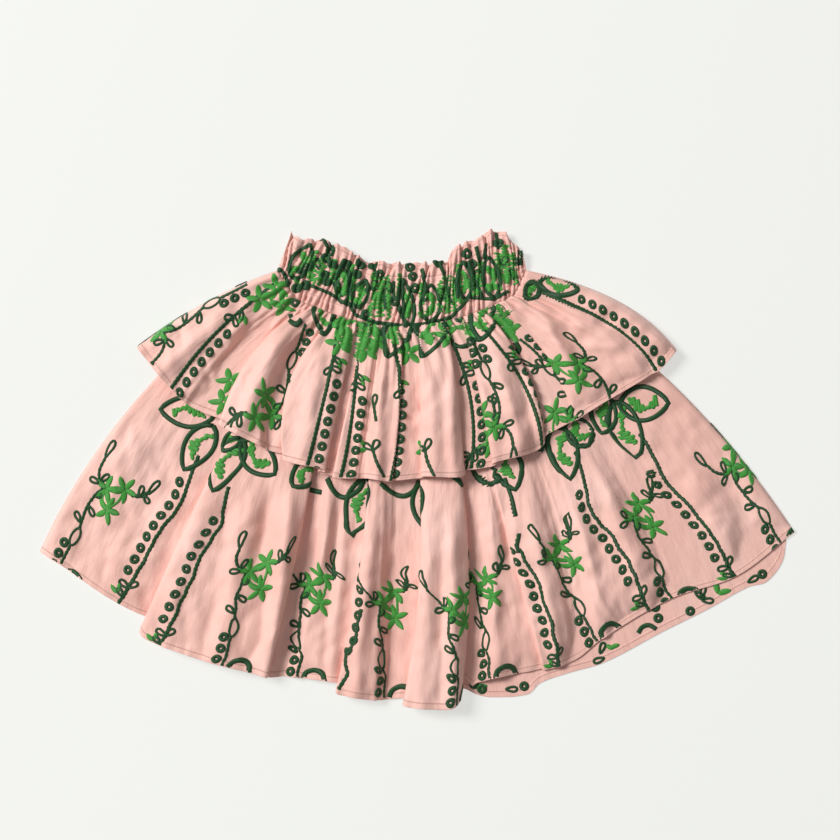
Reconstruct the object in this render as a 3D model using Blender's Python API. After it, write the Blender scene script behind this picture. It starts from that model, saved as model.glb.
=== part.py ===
# A two-tier gathered skirt, laid flat on its back on a surface.
# A shirred yoke carries a short upper tier and a long lower tier. Each has a front and a back panel.
# X runs across the skirt, +Y points to the waist and +Z points up. The origin is on the surface,
# under the middle of the skirt's outline. Tables are in millimetres, and Blender's units are metres.
import math

import bpy
import numpy as np

MM = 0.001
WALL = 1.2
SEAM_GAP = 0.3

# Heights of the layers' undersides where the back tiers lie on each other.
LOWER_BACK_LIFT = WALL + SEAM_GAP
LOWER_FRONT_LIFT = LOWER_BACK_LIFT + WALL + SEAM_GAP
UPPER_FRONT_LIFT = LOWER_FRONT_LIFT + WALL + 1.1
UPPER_FRONT_RISE = 6.9

# The seam between the yoke and the tiers sags towards the hem in the middle and hooks up at its ends.
SEAM_LEFT = -140.0
SEAM_RIGHT = 108.0
SEAM_END_Y = 182.0
SEAM_SAG = 38.0
SEAM_HOOK = 17.0
SEAM_HOOK_SHARE = 0.14

# The yoke: its top edge, from left to right, and its shirring.
GATHERS = 48
SHIRRING_ROWS = 6
YOKE_LIFT = WALL + SEAM_GAP + 2.7
HEADING_SHARE = 0.24
YOKE_TOP = (
    # x, y
    (-126, 234),
    (-116, 227),
    (-100, 226),
    (-82, 224),
    (-48, 208),
    (-8, 205),
    (27, 207),
    (34, 217),
    (62, 231),
    (77, 237),
    (92, 231),
    (104, 216),
)

# Each row is a fold's visible edge, from left to right. seam is its share of the waist seam, and mid
# and hem are points halfway down and at the hem. rise is 1 where the cloth to its right lies higher
# and -1 where it lies lower. tuck is how far the fold laps over, and 0 is a soft roll. level is the
# height of the panel to its right. drop moves the hem outwards, to the fold's left and to its right.
LOWER_LEFT_EDGE = dict(seam=0.0, mid=(-282, 69), hem=(-376, -78), level=1.5, drop=(0, 4))
LOWER_FOLDS = (
    dict(seam=0.10, mid=(-205, -2), hem=(-277, -160), rise=1, tuck=8.0, width=8.0, level=12.0, drop=(-17, 4)),
    dict(seam=0.22, mid=(-112, -18), hem=(-152, -206), rise=-1, tuck=8.0, width=8.0, level=0.0, drop=(0, 0)),
    dict(seam=0.27, mid=(-92, -20), hem=(-132, -206), rise=1, tuck=0.0, width=16.0, level=3.5, drop=(0, 0)),
    dict(seam=0.36, mid=(-50, -33), hem=(-80, -216), rise=1, tuck=3.5, width=6.0, level=11.0, drop=(-4, 6)),
    dict(seam=0.44, mid=(-28, -35), hem=(-36, -226), rise=-1, tuck=0.0, width=18.0, level=2.0, drop=(4, 2)),
    dict(seam=0.49, mid=(4, -36), hem=(-13, -228), rise=1, tuck=6.5, width=7.0, level=12.0, drop=(-1, 6)),
    dict(seam=0.58, mid=(46, -36), hem=(41, -230), rise=-1, tuck=7.0, width=7.0, level=0.0, drop=(5, -18)),
    dict(seam=0.62, mid=(66, -36), hem=(60, -212), rise=1, tuck=0.0, width=16.0, level=4.5, drop=(0, 0)),
    dict(seam=0.68, mid=(93, -28), hem=(140, -200), rise=1, tuck=4.0, width=6.0, level=11.5, drop=(-2, 0)),
    dict(seam=0.74, mid=(122, -22), hem=(158, -189), rise=-1, tuck=0.0, width=18.0, level=3.5, drop=(0, 0)),
    dict(seam=0.78, mid=(140, -16), hem=(182, -170), rise=1, tuck=0.0, width=18.0, level=10.0, drop=(0, 0)),
    dict(seam=0.84, mid=(180, 12), hem=(252, -128), rise=-1, tuck=7.0, width=7.0, level=0.0, drop=(1, 1)),
    dict(seam=0.90, mid=(222, 22), hem=(318, -106), rise=1, tuck=0.0, width=22.0, level=6.0, drop=(0, 0)),
)
LOWER_RIGHT_EDGE = dict(seam=1.0, mid=(257, 83), hem=(376, -62), level=0.0, drop=(0, 0))

UPPER_LEFT_EDGE = dict(seam=0.0, mid=(-211, 168), hem=(-280, 123), level=6.0, drop=(0, 0))
UPPER_FOLDS = (
    dict(seam=0.08, mid=(-186, 126), hem=(-232, 68), rise=-1, tuck=0.0, width=14.0, level=0.0, drop=(0, 0)),
    dict(seam=0.15, mid=(-167, 120), hem=(-200, 47), rise=1, tuck=5.0, width=6.0, level=8.5, drop=(-3, 2)),
    dict(seam=0.20, mid=(-140, 98), hem=(-152, 22), rise=-1, tuck=0.0, width=12.0, level=2.0, drop=(0, 0)),
    dict(seam=0.25, mid=(-126, 92), hem=(-133, 12), rise=1, tuck=2.5, width=6.0, level=9.0, drop=(-5, 2)),
    dict(seam=0.32, mid=(-76, 78), hem=(-91, 0), rise=-1, tuck=4.0, width=6.0, level=0.5, drop=(0, 5)),
    dict(seam=0.36, mid=(-68, 72), hem=(-84, -6), rise=1, tuck=2.5, width=5.0, level=7.0, drop=(0, 1)),
    dict(seam=0.41, mid=(-50, 66), hem=(-61, -8), rise=-1, tuck=0.0, width=8.0, level=2.5, drop=(0, 0)),
    dict(seam=0.45, mid=(-42, 66), hem=(-51, -8), rise=1, tuck=0.0, width=8.0, level=8.0, drop=(0, 0)),
    dict(seam=0.50, mid=(-18, 66), hem=(-25, -10), rise=-1, tuck=4.0, width=6.0, level=0.5, drop=(1, 0)),
    dict(seam=0.57, mid=(3, 66), hem=(4, -6), rise=1, tuck=4.5, width=6.0, level=10.0, drop=(2, 0)),
    dict(seam=0.68, mid=(39, 72), hem=(45, -6), rise=-1, tuck=5.0, width=6.0, level=0.0, drop=(0, -5)),
    dict(seam=0.74, mid=(60, 82), hem=(74, 6), rise=1, tuck=4.5, width=6.0, level=9.0, drop=(2, -1)),
    dict(seam=0.83, mid=(108, 94), hem=(123, 22), rise=-1, tuck=5.0, width=6.0, level=0.0, drop=(0, -10)),
    dict(seam=0.89, mid=(128, 112), hem=(160, 54), rise=1, tuck=4.0, width=6.0, level=6.5, drop=(2, 3)),
    dict(seam=0.95, mid=(190, 142), hem=(236, 98), rise=1, tuck=2.0, width=6.0, level=11.0, drop=(0, 2)),
)
UPPER_RIGHT_EDGE = dict(seam=1.0, mid=(199, 169), hem=(258, 120), level=0.0, drop=(0, 0))

# Share of the full fold height and tuck, from the seam (0) to the hem (1).
LOWER_FOLD_GROWTH = ((0.0, 0.0), (0.42, 0.50), (0.62, 1.0), (1.0, 1.0))
UPPER_FOLD_GROWTH = ((0.0, 0.35), (0.20, 0.75), (0.45, 1.0), (1.0, 1.0))
# Height of the lower back over the surface, from the seam to the hem: it steps down off the upper back.
LOWER_BACK_STEP = ((0.0, 1.0), (0.47, 1.0), (0.57, 0.0), (1.0, 0.0))
LOWER_FRONT_STEP = ((0.0, 1.0), (0.52, 1.0), (0.66, 0.0), (1.0, 0.0))
SIDE_ROLL = 16.0
GATHER_HEIGHT = 1.6
GATHER_FADE = 0.24
GATHER_PITCH = 8.0
TIGHTEST_BEND = 0.8

LOWER_BACK_HEM = (
    # x, y
    (-366, -76),
    (-328, -102),
    (-272, -132),
    (-218, -178),
    (-150, -198),
    (-20, -220),
    (44, -218),
    (58, -224),
    (72, -227),
    (110, -224),
    (122, -213),
    (150, -203),
    (187, -192),
    (244, -162),
    (290, -139),
    (330, -117),
    (348, -112),
    (364, -92),
    (368, -70),
)
UPPER_BACK_HEM = (
    # x, y
    (-274, 122),
    (-244, 82),
    (-196, 54),
    (-130, 22),
    (0, 0),
    (120, 26),
    (188, 66),
    (232, 100),
    (252, 121),
)


def seam_point(share):
    """A point of the waist seam: x runs evenly from end to end, and y sags as a parabola."""
    share = np.asarray(share, float)
    out = np.abs(2 * share - 1)
    hook = np.clip((out - 1 + SEAM_HOOK_SHARE) / SEAM_HOOK_SHARE, 0, 1) ** 2
    x = SEAM_LEFT + (SEAM_RIGHT - SEAM_LEFT) * share
    y = SEAM_END_Y - SEAM_SAG * (1 - out**2) + SEAM_HOOK * hook
    return np.stack([x, y], -1)


def along(table, v):
    """Linear interpolation in a short table of (place, value)."""
    places, values = zip(*table)
    return np.interp(v, places, values)


def chords(points):
    """Distances along a row of points, from 0, for one row or for a stack of rows."""
    steps = np.linalg.norm(np.diff(points, axis=-2), axis=-1)
    return np.concatenate([np.zeros_like(steps[..., :1]), np.cumsum(steps, -1)], -1)


def through(points, at):
    """A smooth curve through a row of points, or through one row for each distance in at.

    Each piece is a cubic between neighbours, and its slopes are those of the neighbours' chords."""
    at = np.asarray(at, float)
    points = np.broadcast_to(points, (len(at), *np.shape(points)[-2:])).astype(float)
    knots = chords(points)
    slopes = np.empty_like(points)
    slopes[:, 1:-1] = (points[:, 2:] - points[:, :-2]) / (knots[:, 2:] - knots[:, :-2])[..., None]
    slopes[:, 0] = (points[:, 1] - points[:, 0]) / (knots[:, 1] - knots[:, 0])[:, None]
    slopes[:, -1] = (points[:, -1] - points[:, -2]) / (knots[:, -1] - knots[:, -2])[:, None]
    row = np.arange(len(at))
    k = np.clip((at[:, None] >= knots).sum(1) - 1, 0, knots.shape[1] - 2)
    span = (knots[row, k + 1] - knots[row, k])[:, None]
    t = (at - knots[row, k])[:, None] / span
    return (
        (1 + 2 * t) * (1 - t) ** 2 * points[row, k]
        + t * (1 - t) ** 2 * span * slopes[row, k]
        + t * t * (3 - 2 * t) * points[row, k + 1]
        - t * t * (1 - t) * span * slopes[row, k + 1]
    )


def shared_out(points, share):
    """Points on the smooth curve through a table's points, at shares of its length."""
    points = np.asarray(points, float)
    return through(points, np.asarray(share, float) * chords(points)[-1])


class FrontTier:
    """The middle surface of a tier's front panel, as a function of v, from seam to hem, and w.

    The whole part of w counts panels and folds from the left: 0 is the first panel, 1 the first fold,
    2 the second panel and so on. The rest of w, called q, runs across that panel or fold."""

    def __init__(self, left, folds, right, growth, lift, side_lift, gathered):
        guides = (left, *folds, right)
        self.folds = folds
        self.growth = growth
        self.lift = lift
        self.side_lift = side_lift
        self.start = seam_point([g["seam"] for g in guides])
        self.middle = np.array([g["mid"] for g in guides], float)
        self.end = np.array([g["hem"] for g in guides], float)
        self.length = np.linalg.norm(self.end - self.start, axis=1).mean()
        self.levels = np.array([g["level"] for g in guides[:-1]], float)
        self.rises = np.array([f["rise"] for f in folds], float)
        self.tucks = np.array([f["tuck"] for f in folds], float)
        self.widths = np.array([f["width"] for f in folds], float)
        self.drops = np.array([g["drop"] for g in guides], float)
        pitches = np.linalg.norm(np.diff(self.start, axis=0), axis=1) / GATHER_PITCH
        self.gathers = np.maximum(1, np.round(pitches)) * gathered

    def guides_at(self, v):
        """The guide lines at each v: parabolas through their seam, middle and hem points."""
        v = v[:, None, None]
        bend = 2 * self.middle - (self.start + self.end) / 2
        return (1 - v) ** 2 * self.start + 2 * v * (1 - v) * bend + v**2 * self.end

    def across(self, v, part, q):
        """Distance from the tier's left edge. A fold runs back on itself by a sine wave of its tuck."""
        whole = chords(self.guides_at(v))
        grown = np.interp(v, *zip(*self.growth))[:, None]
        near_seam = np.clip(0.55 + 0.9 * v, 0, 1)[:, None]
        rises = np.abs(np.diff(self.levels)) * grown
        tucks = np.minimum(self.tucks * grown, rises**2 / (11 * TIGHTEST_BEND))
        widths = self.widths * near_seam
        centres = whole[:, 1:-1] + self.rises * np.maximum(0, tucks - widths / 4) * (tucks > 0)
        row, fold, panel, last = np.arange(len(v)), part // 2, part // 2, len(self.folds)
        fold = np.minimum(fold, last - 1)
        before = np.maximum(panel - 1, 0)
        on_fold = centres[row, fold] + widths[row, fold] * (q - 0.5) + tucks[row, fold] * np.sin(2 * math.pi * q)
        left = np.where(panel == 0, 0.0, (centres + widths / 2)[row, before])
        right = np.where(panel == last, whole[:, -1], (centres - widths / 2)[row, fold])
        return np.where(part % 2, on_fold, left + (right - left) * q), whole[:, -1]

    def surface(self, v, w):
        """Points of the middle surface in millimetres, for arrays v and w of one length."""
        last = len(self.folds)
        part = np.clip(np.floor(w).astype(int), 0, 2 * last)
        q = w - part
        panel = part // 2
        after = np.minimum(panel + 1, last)
        a, whole = self.across(v, part, q)
        turn = np.where(part % 2, q - 0.9 * np.sin(4 * math.pi * q) / (4 * math.pi), q)
        fold_drop = self.drops[after, 0] * (1 - turn) + self.drops[after, 1] * turn
        panel_drop = self.drops[panel, 1] * (1 - q) + self.drops[panel + 1, 0] * q
        drop = np.where(part % 2, fold_drop, panel_drop)
        plan = through(self.guides_at(v + drop / self.length * v**2), a)
        level = np.where(
            part % 2,
            self.levels[panel] * (1 - turn) + self.levels[after] * turn,
            self.levels[panel] * (1 + 0.10 * np.sin(math.pi * q) ** 2),
        )
        height = self.lift(v) + level * np.interp(v, *zip(*self.growth))
        fade = np.clip(1 - v / GATHER_FADE, 0, 1) ** 2
        gather = np.sin(math.pi * self.gathers[panel] * q) ** 2 * (self.gathers[panel] > 0)
        height += np.where(part % 2, 0.0, GATHER_HEIGHT * fade * gather)
        edge = np.clip(np.minimum(a, whole - a) / SIDE_ROLL, 0, 1)
        roll = np.sqrt(1 - (1 - edge) ** 2)
        height = self.side_lift(v) + (height - self.side_lift(v)) * roll
        return np.column_stack([plan, height])


def grid_wall(surface, rows, columns, thickness):
    """A closed wall round a middle surface, which is moved out along its normals to both sides."""
    v, w = (g.ravel() for g in np.meshgrid(rows, columns, indexing="ij"))
    step_v = np.where(v < 0.5, 1e-3, -1e-3)
    step_w = np.where(w - np.floor(w) < 0.5, 1e-3, -1e-3)
    points = surface(v, w)
    along_v = (surface(v + step_v, w) - points) / step_v[:, None]
    along_w = (surface(v, w + step_w) - points) / step_w[:, None]
    normals = np.cross(along_v, along_w)
    normals *= np.sign(normals[:, 2:].sum()) if abs(normals[:, 2].sum()) > 0 else 1
    normals /= np.linalg.norm(normals, axis=1)[:, None]
    return wall_mesh(points + normals * thickness / 2, points - normals * thickness / 2, len(rows), len(columns))


def wall_mesh(upper, lower, rows, columns):
    """Vertices and faces of a closed wall between two grids of points, rims included."""
    index = np.arange(rows * columns).reshape(rows, columns)
    a, b, c, d = index[:-1, :-1], index[:-1, 1:], index[1:, 1:], index[1:, :-1]
    top = np.stack([a, d, c, b], -1).reshape(-1, 4)
    bottom = np.stack([a, b, c, d], -1).reshape(-1, 4) + rows * columns
    rim = np.concatenate([index[:-1, 0], index[-1, :-1], index[:0:-1, -1], index[0, :0:-1]])
    after = np.roll(rim, -1)
    side = np.stack([rim, rim + rows * columns, after + rows * columns, after], -1)
    return np.concatenate([upper, lower]), np.concatenate([top, bottom, side])


def add_panel(name, mesh_data, material):
    """One named object from vertices in millimetres and faces, with its normals pointing out."""
    vertices, faces = mesh_data
    mesh = bpy.data.meshes.new(name)
    mesh.from_pydata((vertices * MM).tolist(), [], faces.tolist())
    mesh.validate()
    corners = np.array([[mesh.vertices[i].co for i in p.vertices[:3]] for p in mesh.polygons])
    inside_out = np.einsum("ij,ij->i", corners[:, 0], np.cross(corners[:, 1], corners[:, 2])).sum() < 0
    if inside_out:
        mesh.flip_normals()
    mesh.shade_smooth()
    mesh.materials.append(material)
    panel = bpy.data.objects.new(name, mesh)
    bpy.context.scene.collection.objects.link(panel)
    return panel


def cloth_material(name, colour, roughness):
    """Woven cotton: a plain Principled surface with a little sheen."""
    material = bpy.data.materials.new(name)
    material.use_nodes = True
    shader = material.node_tree.nodes["Principled BSDF"]
    shader.inputs["Base Color"].default_value = (*colour, 1)
    shader.inputs["Roughness"].default_value = roughness
    shader.inputs["Metallic"].default_value = 0
    shader.inputs["Sheen Weight"].default_value = 0.2
    return material


def fold_columns(tier):
    """Where a front panel is sampled across: close together round each fold's two bends."""
    hard = (0.0, 0.14, 0.25, 0.38, 0.62, 0.75, 0.86)
    soft = (0.0, 0.3, 0.7)
    columns = []
    for k in range(len(tier.folds) + 1):
        waves = int(max(1, tier.gathers[k]))
        spread = np.arange(2 * waves) / (2 * waves)
        if k == 0:
            spread = np.concatenate([[0.0, 0.05, 0.15], spread[spread > 0.2]])
        if k == len(tier.folds):
            spread = np.concatenate([spread[spread < 0.8], [0.85, 0.95, 1 - 1e-9]])
        columns += list(2 * k + spread)
        if k < len(tier.folds):
            columns += [2 * k + 1 + q for q in (hard if tier.tucks[k] else soft)]
    return np.array(columns)


def lower_front(material):
    def lift(v):
        return WALL / 2 + LOWER_FRONT_LIFT - LOWER_BACK_LIFT * (1 - along(LOWER_FRONT_STEP, v))

    tier = FrontTier(LOWER_LEFT_EDGE, LOWER_FOLDS, LOWER_RIGHT_EDGE, LOWER_FOLD_GROWTH, lift, lift, 0)
    rows = np.array([0.0, 0.15, 0.30, 0.42, 0.52, 0.59, 0.66, 0.75, 0.84, 0.92, 1.0])
    shape = trimmed(tier.surface, 6.0, tier.length)
    return add_panel("lower_tier_front", grid_wall(shape, rows, fold_columns(tier), WALL), material)


def upper_front_tier():
    def lift(v):
        return WALL / 2 + UPPER_FRONT_LIFT + UPPER_FRONT_RISE * v

    def side_lift(v):
        return WALL / 2 + UPPER_FRONT_LIFT + (LOWER_BACK_LIFT - UPPER_FRONT_LIFT) * np.clip(v / 0.3, 0, 1)

    return FrontTier(UPPER_LEFT_EDGE, UPPER_FOLDS, UPPER_RIGHT_EDGE, UPPER_FOLD_GROWTH, lift, side_lift, 1)


def upper_front(material):
    tier = upper_front_tier()
    rows = np.array([0.0, 0.07, 0.16, 0.28, 0.45, 0.63, 0.82, 1.0])
    shape = trimmed(tier.surface, 2 * SEAM_GAP, tier.length)
    return add_panel("upper_tier_front", grid_wall(shape, rows, fold_columns(tier), WALL), material)


def trimmed(surface, cut, length):
    """The surface without its first few millimetres below the seam."""
    start = cut / length
    return lambda v, w: surface(start + (1 - start) * v, w)


def flat_back(left, hem, right, step, inset, material, name, rows, columns):
    """A back panel pressed flat: it runs from the seam to its own hem line, and its underside is level."""
    across = np.linspace(0, 1, columns)
    top = seam_point(0.02 + 0.96 * across)
    bottom = shared_out(hem, across)
    sides = np.array([left, right], float)
    middle = (top + bottom) / 2
    for end, side in ((0, 0), (-1, 1)):
        pull = (1 - across if end == 0 else across) ** 3
        middle = middle + pull[:, None] * (sides[side] - middle[end])
    bend = 2 * middle - (top + bottom) / 2
    v = np.asarray(rows)[:, None, None]
    shift = inset / np.linalg.norm(bottom - top, axis=1).mean()
    v = shift + (1 - shift) * v
    plan = ((1 - v) ** 2 * top + 2 * v * (1 - v) * bend + v**2 * bottom).reshape(-1, 2)
    base = np.repeat(step(np.asarray(rows)), columns)
    lower = np.column_stack([plan, base])
    upper = np.column_stack([plan, base + WALL])
    return add_panel(name, wall_mesh(upper, lower, len(rows), columns), material)


def lower_back(material):
    rows = (0.0, 0.25, 0.47, 0.52, 0.57, 0.8, 1.0)
    return flat_back(
        (-272, 68), LOWER_BACK_HEM, (246, 80),
        lambda v: LOWER_BACK_LIFT * along(LOWER_BACK_STEP, v),
        6.0, material, "lower_tier_back", rows, 43,
    )


def upper_back(material):
    return flat_back(
        (-207, 167), UPPER_BACK_HEM, (195, 166),
        lambda v: 0.0 * v,
        SEAM_GAP, material, "upper_tier_back", (0.0, 0.5, 1.0), 49,
    )


def yoke_surface(v, w):
    """The shirred front yoke: w is across, v runs from the heading's edge (0) to the seam (1).

    Elastic rows pinch the gathers, which puff out between the rows, and the heading above them frills."""
    top = shared_out(YOKE_TOP, w)
    bottom = shared_out(upper_front_tier().start, w)
    plan = top + (bottom - top) * v[:, None]
    heading = np.clip((HEADING_SHARE - v) / HEADING_SHARE, 0, 1)
    rows = (v - HEADING_SHARE) / (1 - HEADING_SHARE) * (SHIRRING_ROWS - 1)
    puff = np.where(v > HEADING_SHARE, np.sin(math.pi * rows) ** 2, heading)
    gather = np.cos(2 * math.pi * GATHERS * w)
    frill = np.cos(2 * math.pi * GATHERS / 4 * w + 1.0)
    base = YOKE_LIFT + (UPPER_FRONT_LIFT - YOKE_LIFT) * v
    height = WALL / 2 + base + (0.75 + 0.5 * puff) * gather + 1.3 * heading * frill
    plan[:, 1] += heading * (1.2 * gather + 1.6 * frill)
    return np.column_stack([plan, height])


def yoke_front(material):
    rows = [0.0, 0.12, HEADING_SHARE]
    rows += [HEADING_SHARE + (1 - HEADING_SHARE) * k / 2 / (SHIRRING_ROWS - 1) for k in range(1, 2 * SHIRRING_ROWS - 1)]
    columns = np.linspace(0, 1, 2 * GATHERS + 1)
    v, w = (g.ravel() for g in np.meshgrid(rows, columns, indexing="ij"))
    middle = yoke_surface(v, w)
    middle[:, 1] += SEAM_GAP
    up = np.array([0, 0, WALL / 2])
    return add_panel("yoke_front", wall_mesh(middle + up, middle - up, len(rows), len(columns)), material)


def yoke_back(material):
    """The back yoke is pressed flat under the front: only its heading's edge waves."""
    columns = np.linspace(0, 1, 2 * GATHERS + 1)[::2]
    rows = np.array([0.0, HEADING_SHARE, 0.62, 1.0])
    v, w = (g.ravel() for g in np.meshgrid(rows, columns, indexing="ij"))
    top, bottom = shared_out(YOKE_TOP, w), seam_point(0.02 + 0.96 * w)
    plan = top + (bottom - top) * v[:, None]
    plan[:, 1] += SEAM_GAP + np.where(v == 0, 1.0 * np.cos(2 * math.pi * GATHERS / 4 * w), 0.0)
    lower = np.column_stack([plan, np.zeros(len(plan))])
    upper = np.column_stack([plan, np.full(len(plan), WALL)])
    return add_panel("yoke_back", wall_mesh(upper, lower, len(rows), len(columns)), material)


def main():
    for old in list(bpy.data.objects):
        bpy.data.objects.remove(old)
    pink = cloth_material("pink_cotton", (0.93, 0.58, 0.50), 0.7)
    shirred = cloth_material("shirred_cotton", (0.78, 0.50, 0.40), 0.75)
    skirt = bpy.data.objects.new("skirt", None)
    bpy.context.scene.collection.objects.link(skirt)
    panels = (
        lower_front(pink), upper_front(pink), lower_back(pink), upper_back(pink),
        yoke_front(shirred), yoke_back(shirred),
    )
    for panel in panels:
        panel.parent = skirt


main()
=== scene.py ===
# A two-tier gathered skirt of embroidered pink cotton, laid flat on its back.
# The sections follow its making: camera, back panels, front panels, yoke, embroidery, then floor and
# light. Tables are in millimetres on the model's own axes: x to the right, y towards the waist and z up
# from the surface.
import math

import bpy
import numpy as np
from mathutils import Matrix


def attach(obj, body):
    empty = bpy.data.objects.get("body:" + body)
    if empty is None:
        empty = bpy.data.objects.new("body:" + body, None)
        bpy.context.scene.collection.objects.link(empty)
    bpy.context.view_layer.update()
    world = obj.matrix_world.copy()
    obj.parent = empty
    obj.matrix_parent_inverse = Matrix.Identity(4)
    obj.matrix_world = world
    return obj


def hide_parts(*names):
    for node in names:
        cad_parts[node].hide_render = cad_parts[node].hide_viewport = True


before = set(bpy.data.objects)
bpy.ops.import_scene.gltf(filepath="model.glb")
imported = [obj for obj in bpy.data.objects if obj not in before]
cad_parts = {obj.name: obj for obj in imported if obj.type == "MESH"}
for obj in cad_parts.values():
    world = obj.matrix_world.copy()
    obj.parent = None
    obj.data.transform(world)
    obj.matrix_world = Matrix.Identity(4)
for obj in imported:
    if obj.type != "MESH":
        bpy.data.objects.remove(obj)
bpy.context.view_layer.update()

# Camera
# It looks straight down at the laid skirt, from almost 2 m above it. At this height 1 mm on the surface
# is one pixel of 840.
CAMERA_PLACE, LENS, SENSOR = (0.002, 0.050, 1.983), 85.0, 36.0


def show(name, data):
    """An object made from a camera, mesh or lamp, and put in the scene."""
    shown = bpy.data.objects.new(name, data)
    bpy.context.scene.collection.objects.link(shown)
    return shown


camera = show("camera", bpy.data.cameras.new("camera"))
camera.data.lens = LENS
camera.data.sensor_width = SENSOR
camera.location = CAMERA_PLACE
bpy.context.scene.camera = camera

# Back panels of the two tiers
# Two rectangles of sateen-woven cotton, gathered along their upper edge into the waist seam. They lie
# pressed flat under the front, and the lower one's hem shows past the front hem at the lower right.
MM = 0.001
# The shell's thickness, the turned hem's width, what it adds to each side and how soon, and the height of
# the back's middle surface
CLOTH, HEM_FOLD, HEM_LAYER, HEM_STEP, BACK_LEVEL = 0.6, 6.0, 0.28, 0.6, 0.6
SEAM_LEFT, SEAM_RIGHT, SEAM_END_Y, SEAM_SAG = -140.0, 108.0, 182.0, 38.0
SEAM_HOOK, SEAM_HOOK_SHARE = 17.0, 0.14
UPPER_BACK_HEM = (
    (-274, 122), (-244, 82), (-196, 54), (-130, 22), (0, 0), (120, 26), (188, 66), (232, 100), (252, 121),
)
LOWER_BACK_HEM = (
    (-366, -76), (-328, -102), (-272, -132), (-218, -178), (-150, -198), (-20, -220), (44, -218),
    (58, -224), (72, -227), (110, -224), (122, -213), (150, -203), (187, -192), (244, -162), (290, -139),
    (330, -117), (348, -112), (364, -92), (368, -70),
)
# How much higher the lower panel lies under the seam than at its hem, along its length
LOWER_BACK_STEP = ((0.0, 1.5), (0.47, 1.5), (0.57, 0.0), (1.0, 0.0))
# Threads are 0.35 mm apart in the real cloth. Here they are 0.9 mm apart, so that they show. A wave
# texture's bands lie 0.314 m apart at a scale of 1.
THREAD_BANDS = 0.314 / 0.0009


def linear(hexcode):
    """Linear red, green, blue and alpha of an sRGB hex colour."""
    levels = [int(hexcode[k : k + 2], 16) / 255 for k in (1, 3, 5)]
    return (*[c / 12.92 if c <= 0.04045 else ((c + 0.055) / 1.055) ** 2.4 for c in levels], 1.0)


def add_node(tree, kind, inputs=None, **settings):
    """One node with its settings. Each input, by its name or number, is given a value or another's output."""
    node = tree.nodes.new(kind)
    for name, value in settings.items():
        setattr(node, name, value)
    for key, source in (inputs or {}).items():
        if isinstance(source, bpy.types.NodeSocket):
            tree.links.new(source, node.inputs[key])
        else:
            node.inputs[key].default_value = source
    return node


def new_finish(name, **constants):
    """A material with a Principled shader whose constant sockets are set on the shader itself."""
    material = bpy.data.materials.new(name)
    material.use_nodes = True
    shader = material.node_tree.nodes["Principled BSDF"]
    for socket, value in constants.items():
        shader.inputs[socket.replace("_", " ")].default_value = value
    return material, material.node_tree, shader


def along(table, v):
    """Linear interpolation in a short table of (place, value)."""
    places, values = zip(*table)
    return np.interp(v, places, values)


def chords(points):
    """Distances along a row of points, from 0, for one row or for a stack of rows."""
    steps = np.linalg.norm(np.diff(points, axis=-2), axis=-1)
    return np.concatenate([np.zeros_like(steps[..., :1]), np.cumsum(steps, -1)], -1)


def seam_point(share):
    """A point of the waist seam: x runs evenly, and y sags as a parabola and hooks up at both ends."""
    share = np.asarray(share, float)
    out = np.abs(2 * share - 1)
    hook = np.clip((out - 1 + SEAM_HOOK_SHARE) / SEAM_HOOK_SHARE, 0, 1) ** 2
    x = SEAM_LEFT + (SEAM_RIGHT - SEAM_LEFT) * share
    return np.stack([x, SEAM_END_Y - SEAM_SAG * (1 - out**2) + SEAM_HOOK * hook], -1)


def through(points, at):
    """A smooth curve through a row of points, or through one row for each distance in at.

    Each piece is a cubic between neighbours, and its slopes are those of the neighbours' chords."""
    at = np.asarray(at, float)
    points = np.broadcast_to(points, (len(at), *np.shape(points)[-2:])).astype(float)
    knots = chords(points)
    slopes = np.empty_like(points)
    slopes[:, 1:-1] = (points[:, 2:] - points[:, :-2]) / (knots[:, 2:] - knots[:, :-2])[..., None]
    slopes[:, 0] = (points[:, 1] - points[:, 0]) / (knots[:, 1] - knots[:, 0])[:, None]
    slopes[:, -1] = (points[:, -1] - points[:, -2]) / (knots[:, -1] - knots[:, -2])[:, None]
    row = np.arange(len(at))
    k = np.clip((at[:, None] >= knots).sum(1) - 1, 0, knots.shape[1] - 2)
    span = (knots[row, k + 1] - knots[row, k])[:, None]
    t = (at - knots[row, k])[:, None] / span
    return (
        (1 + 2 * t) * (1 - t) ** 2 * points[row, k]
        + t * (1 - t) ** 2 * span * slopes[row, k]
        + t * t * (3 - 2 * t) * points[row, k + 1]
        - t * t * (1 - t) * span * slopes[row, k + 1]
    )


def shared_out(points, share):
    """Points on the smooth curve through a table's points, at shares of its length."""
    points = np.asarray(points, float)
    return through(points, np.asarray(share, float) * chords(points)[-1])


def facing(grid):
    """Unit normals of a grid of points: the cross product of its slopes down and across."""
    normals = np.cross(np.gradient(grid, axis=0), np.gradient(grid, axis=1))
    return normals / np.maximum(np.linalg.norm(normals, axis=-1), 1e-9)[..., None]


def add_mesh(name, vertices, quads, uv, material):
    """One object from points in millimetres, quads and a UV place for each point."""
    mesh = bpy.data.meshes.new(name)
    mesh.vertices.add(len(vertices))
    mesh.vertices.foreach_set("co", (np.asarray(vertices) * MM).ravel())
    mesh.loops.add(quads.size)
    mesh.loops.foreach_set("vertex_index", quads.ravel())
    mesh.polygons.add(len(quads))
    mesh.polygons.foreach_set("loop_start", np.arange(0, quads.size, 4))
    mesh.polygons.foreach_set("loop_total", np.full(len(quads), 4))
    mesh.update(calc_edges=True)
    mesh.validate()
    mesh.uv_layers.new(name="cloth").data.foreach_set("uv", uv[quads.ravel()].ravel())
    mesh.shade_smooth()
    mesh.materials.append(material)
    piece = show(name, mesh)
    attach(piece, "root")
    return piece


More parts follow.
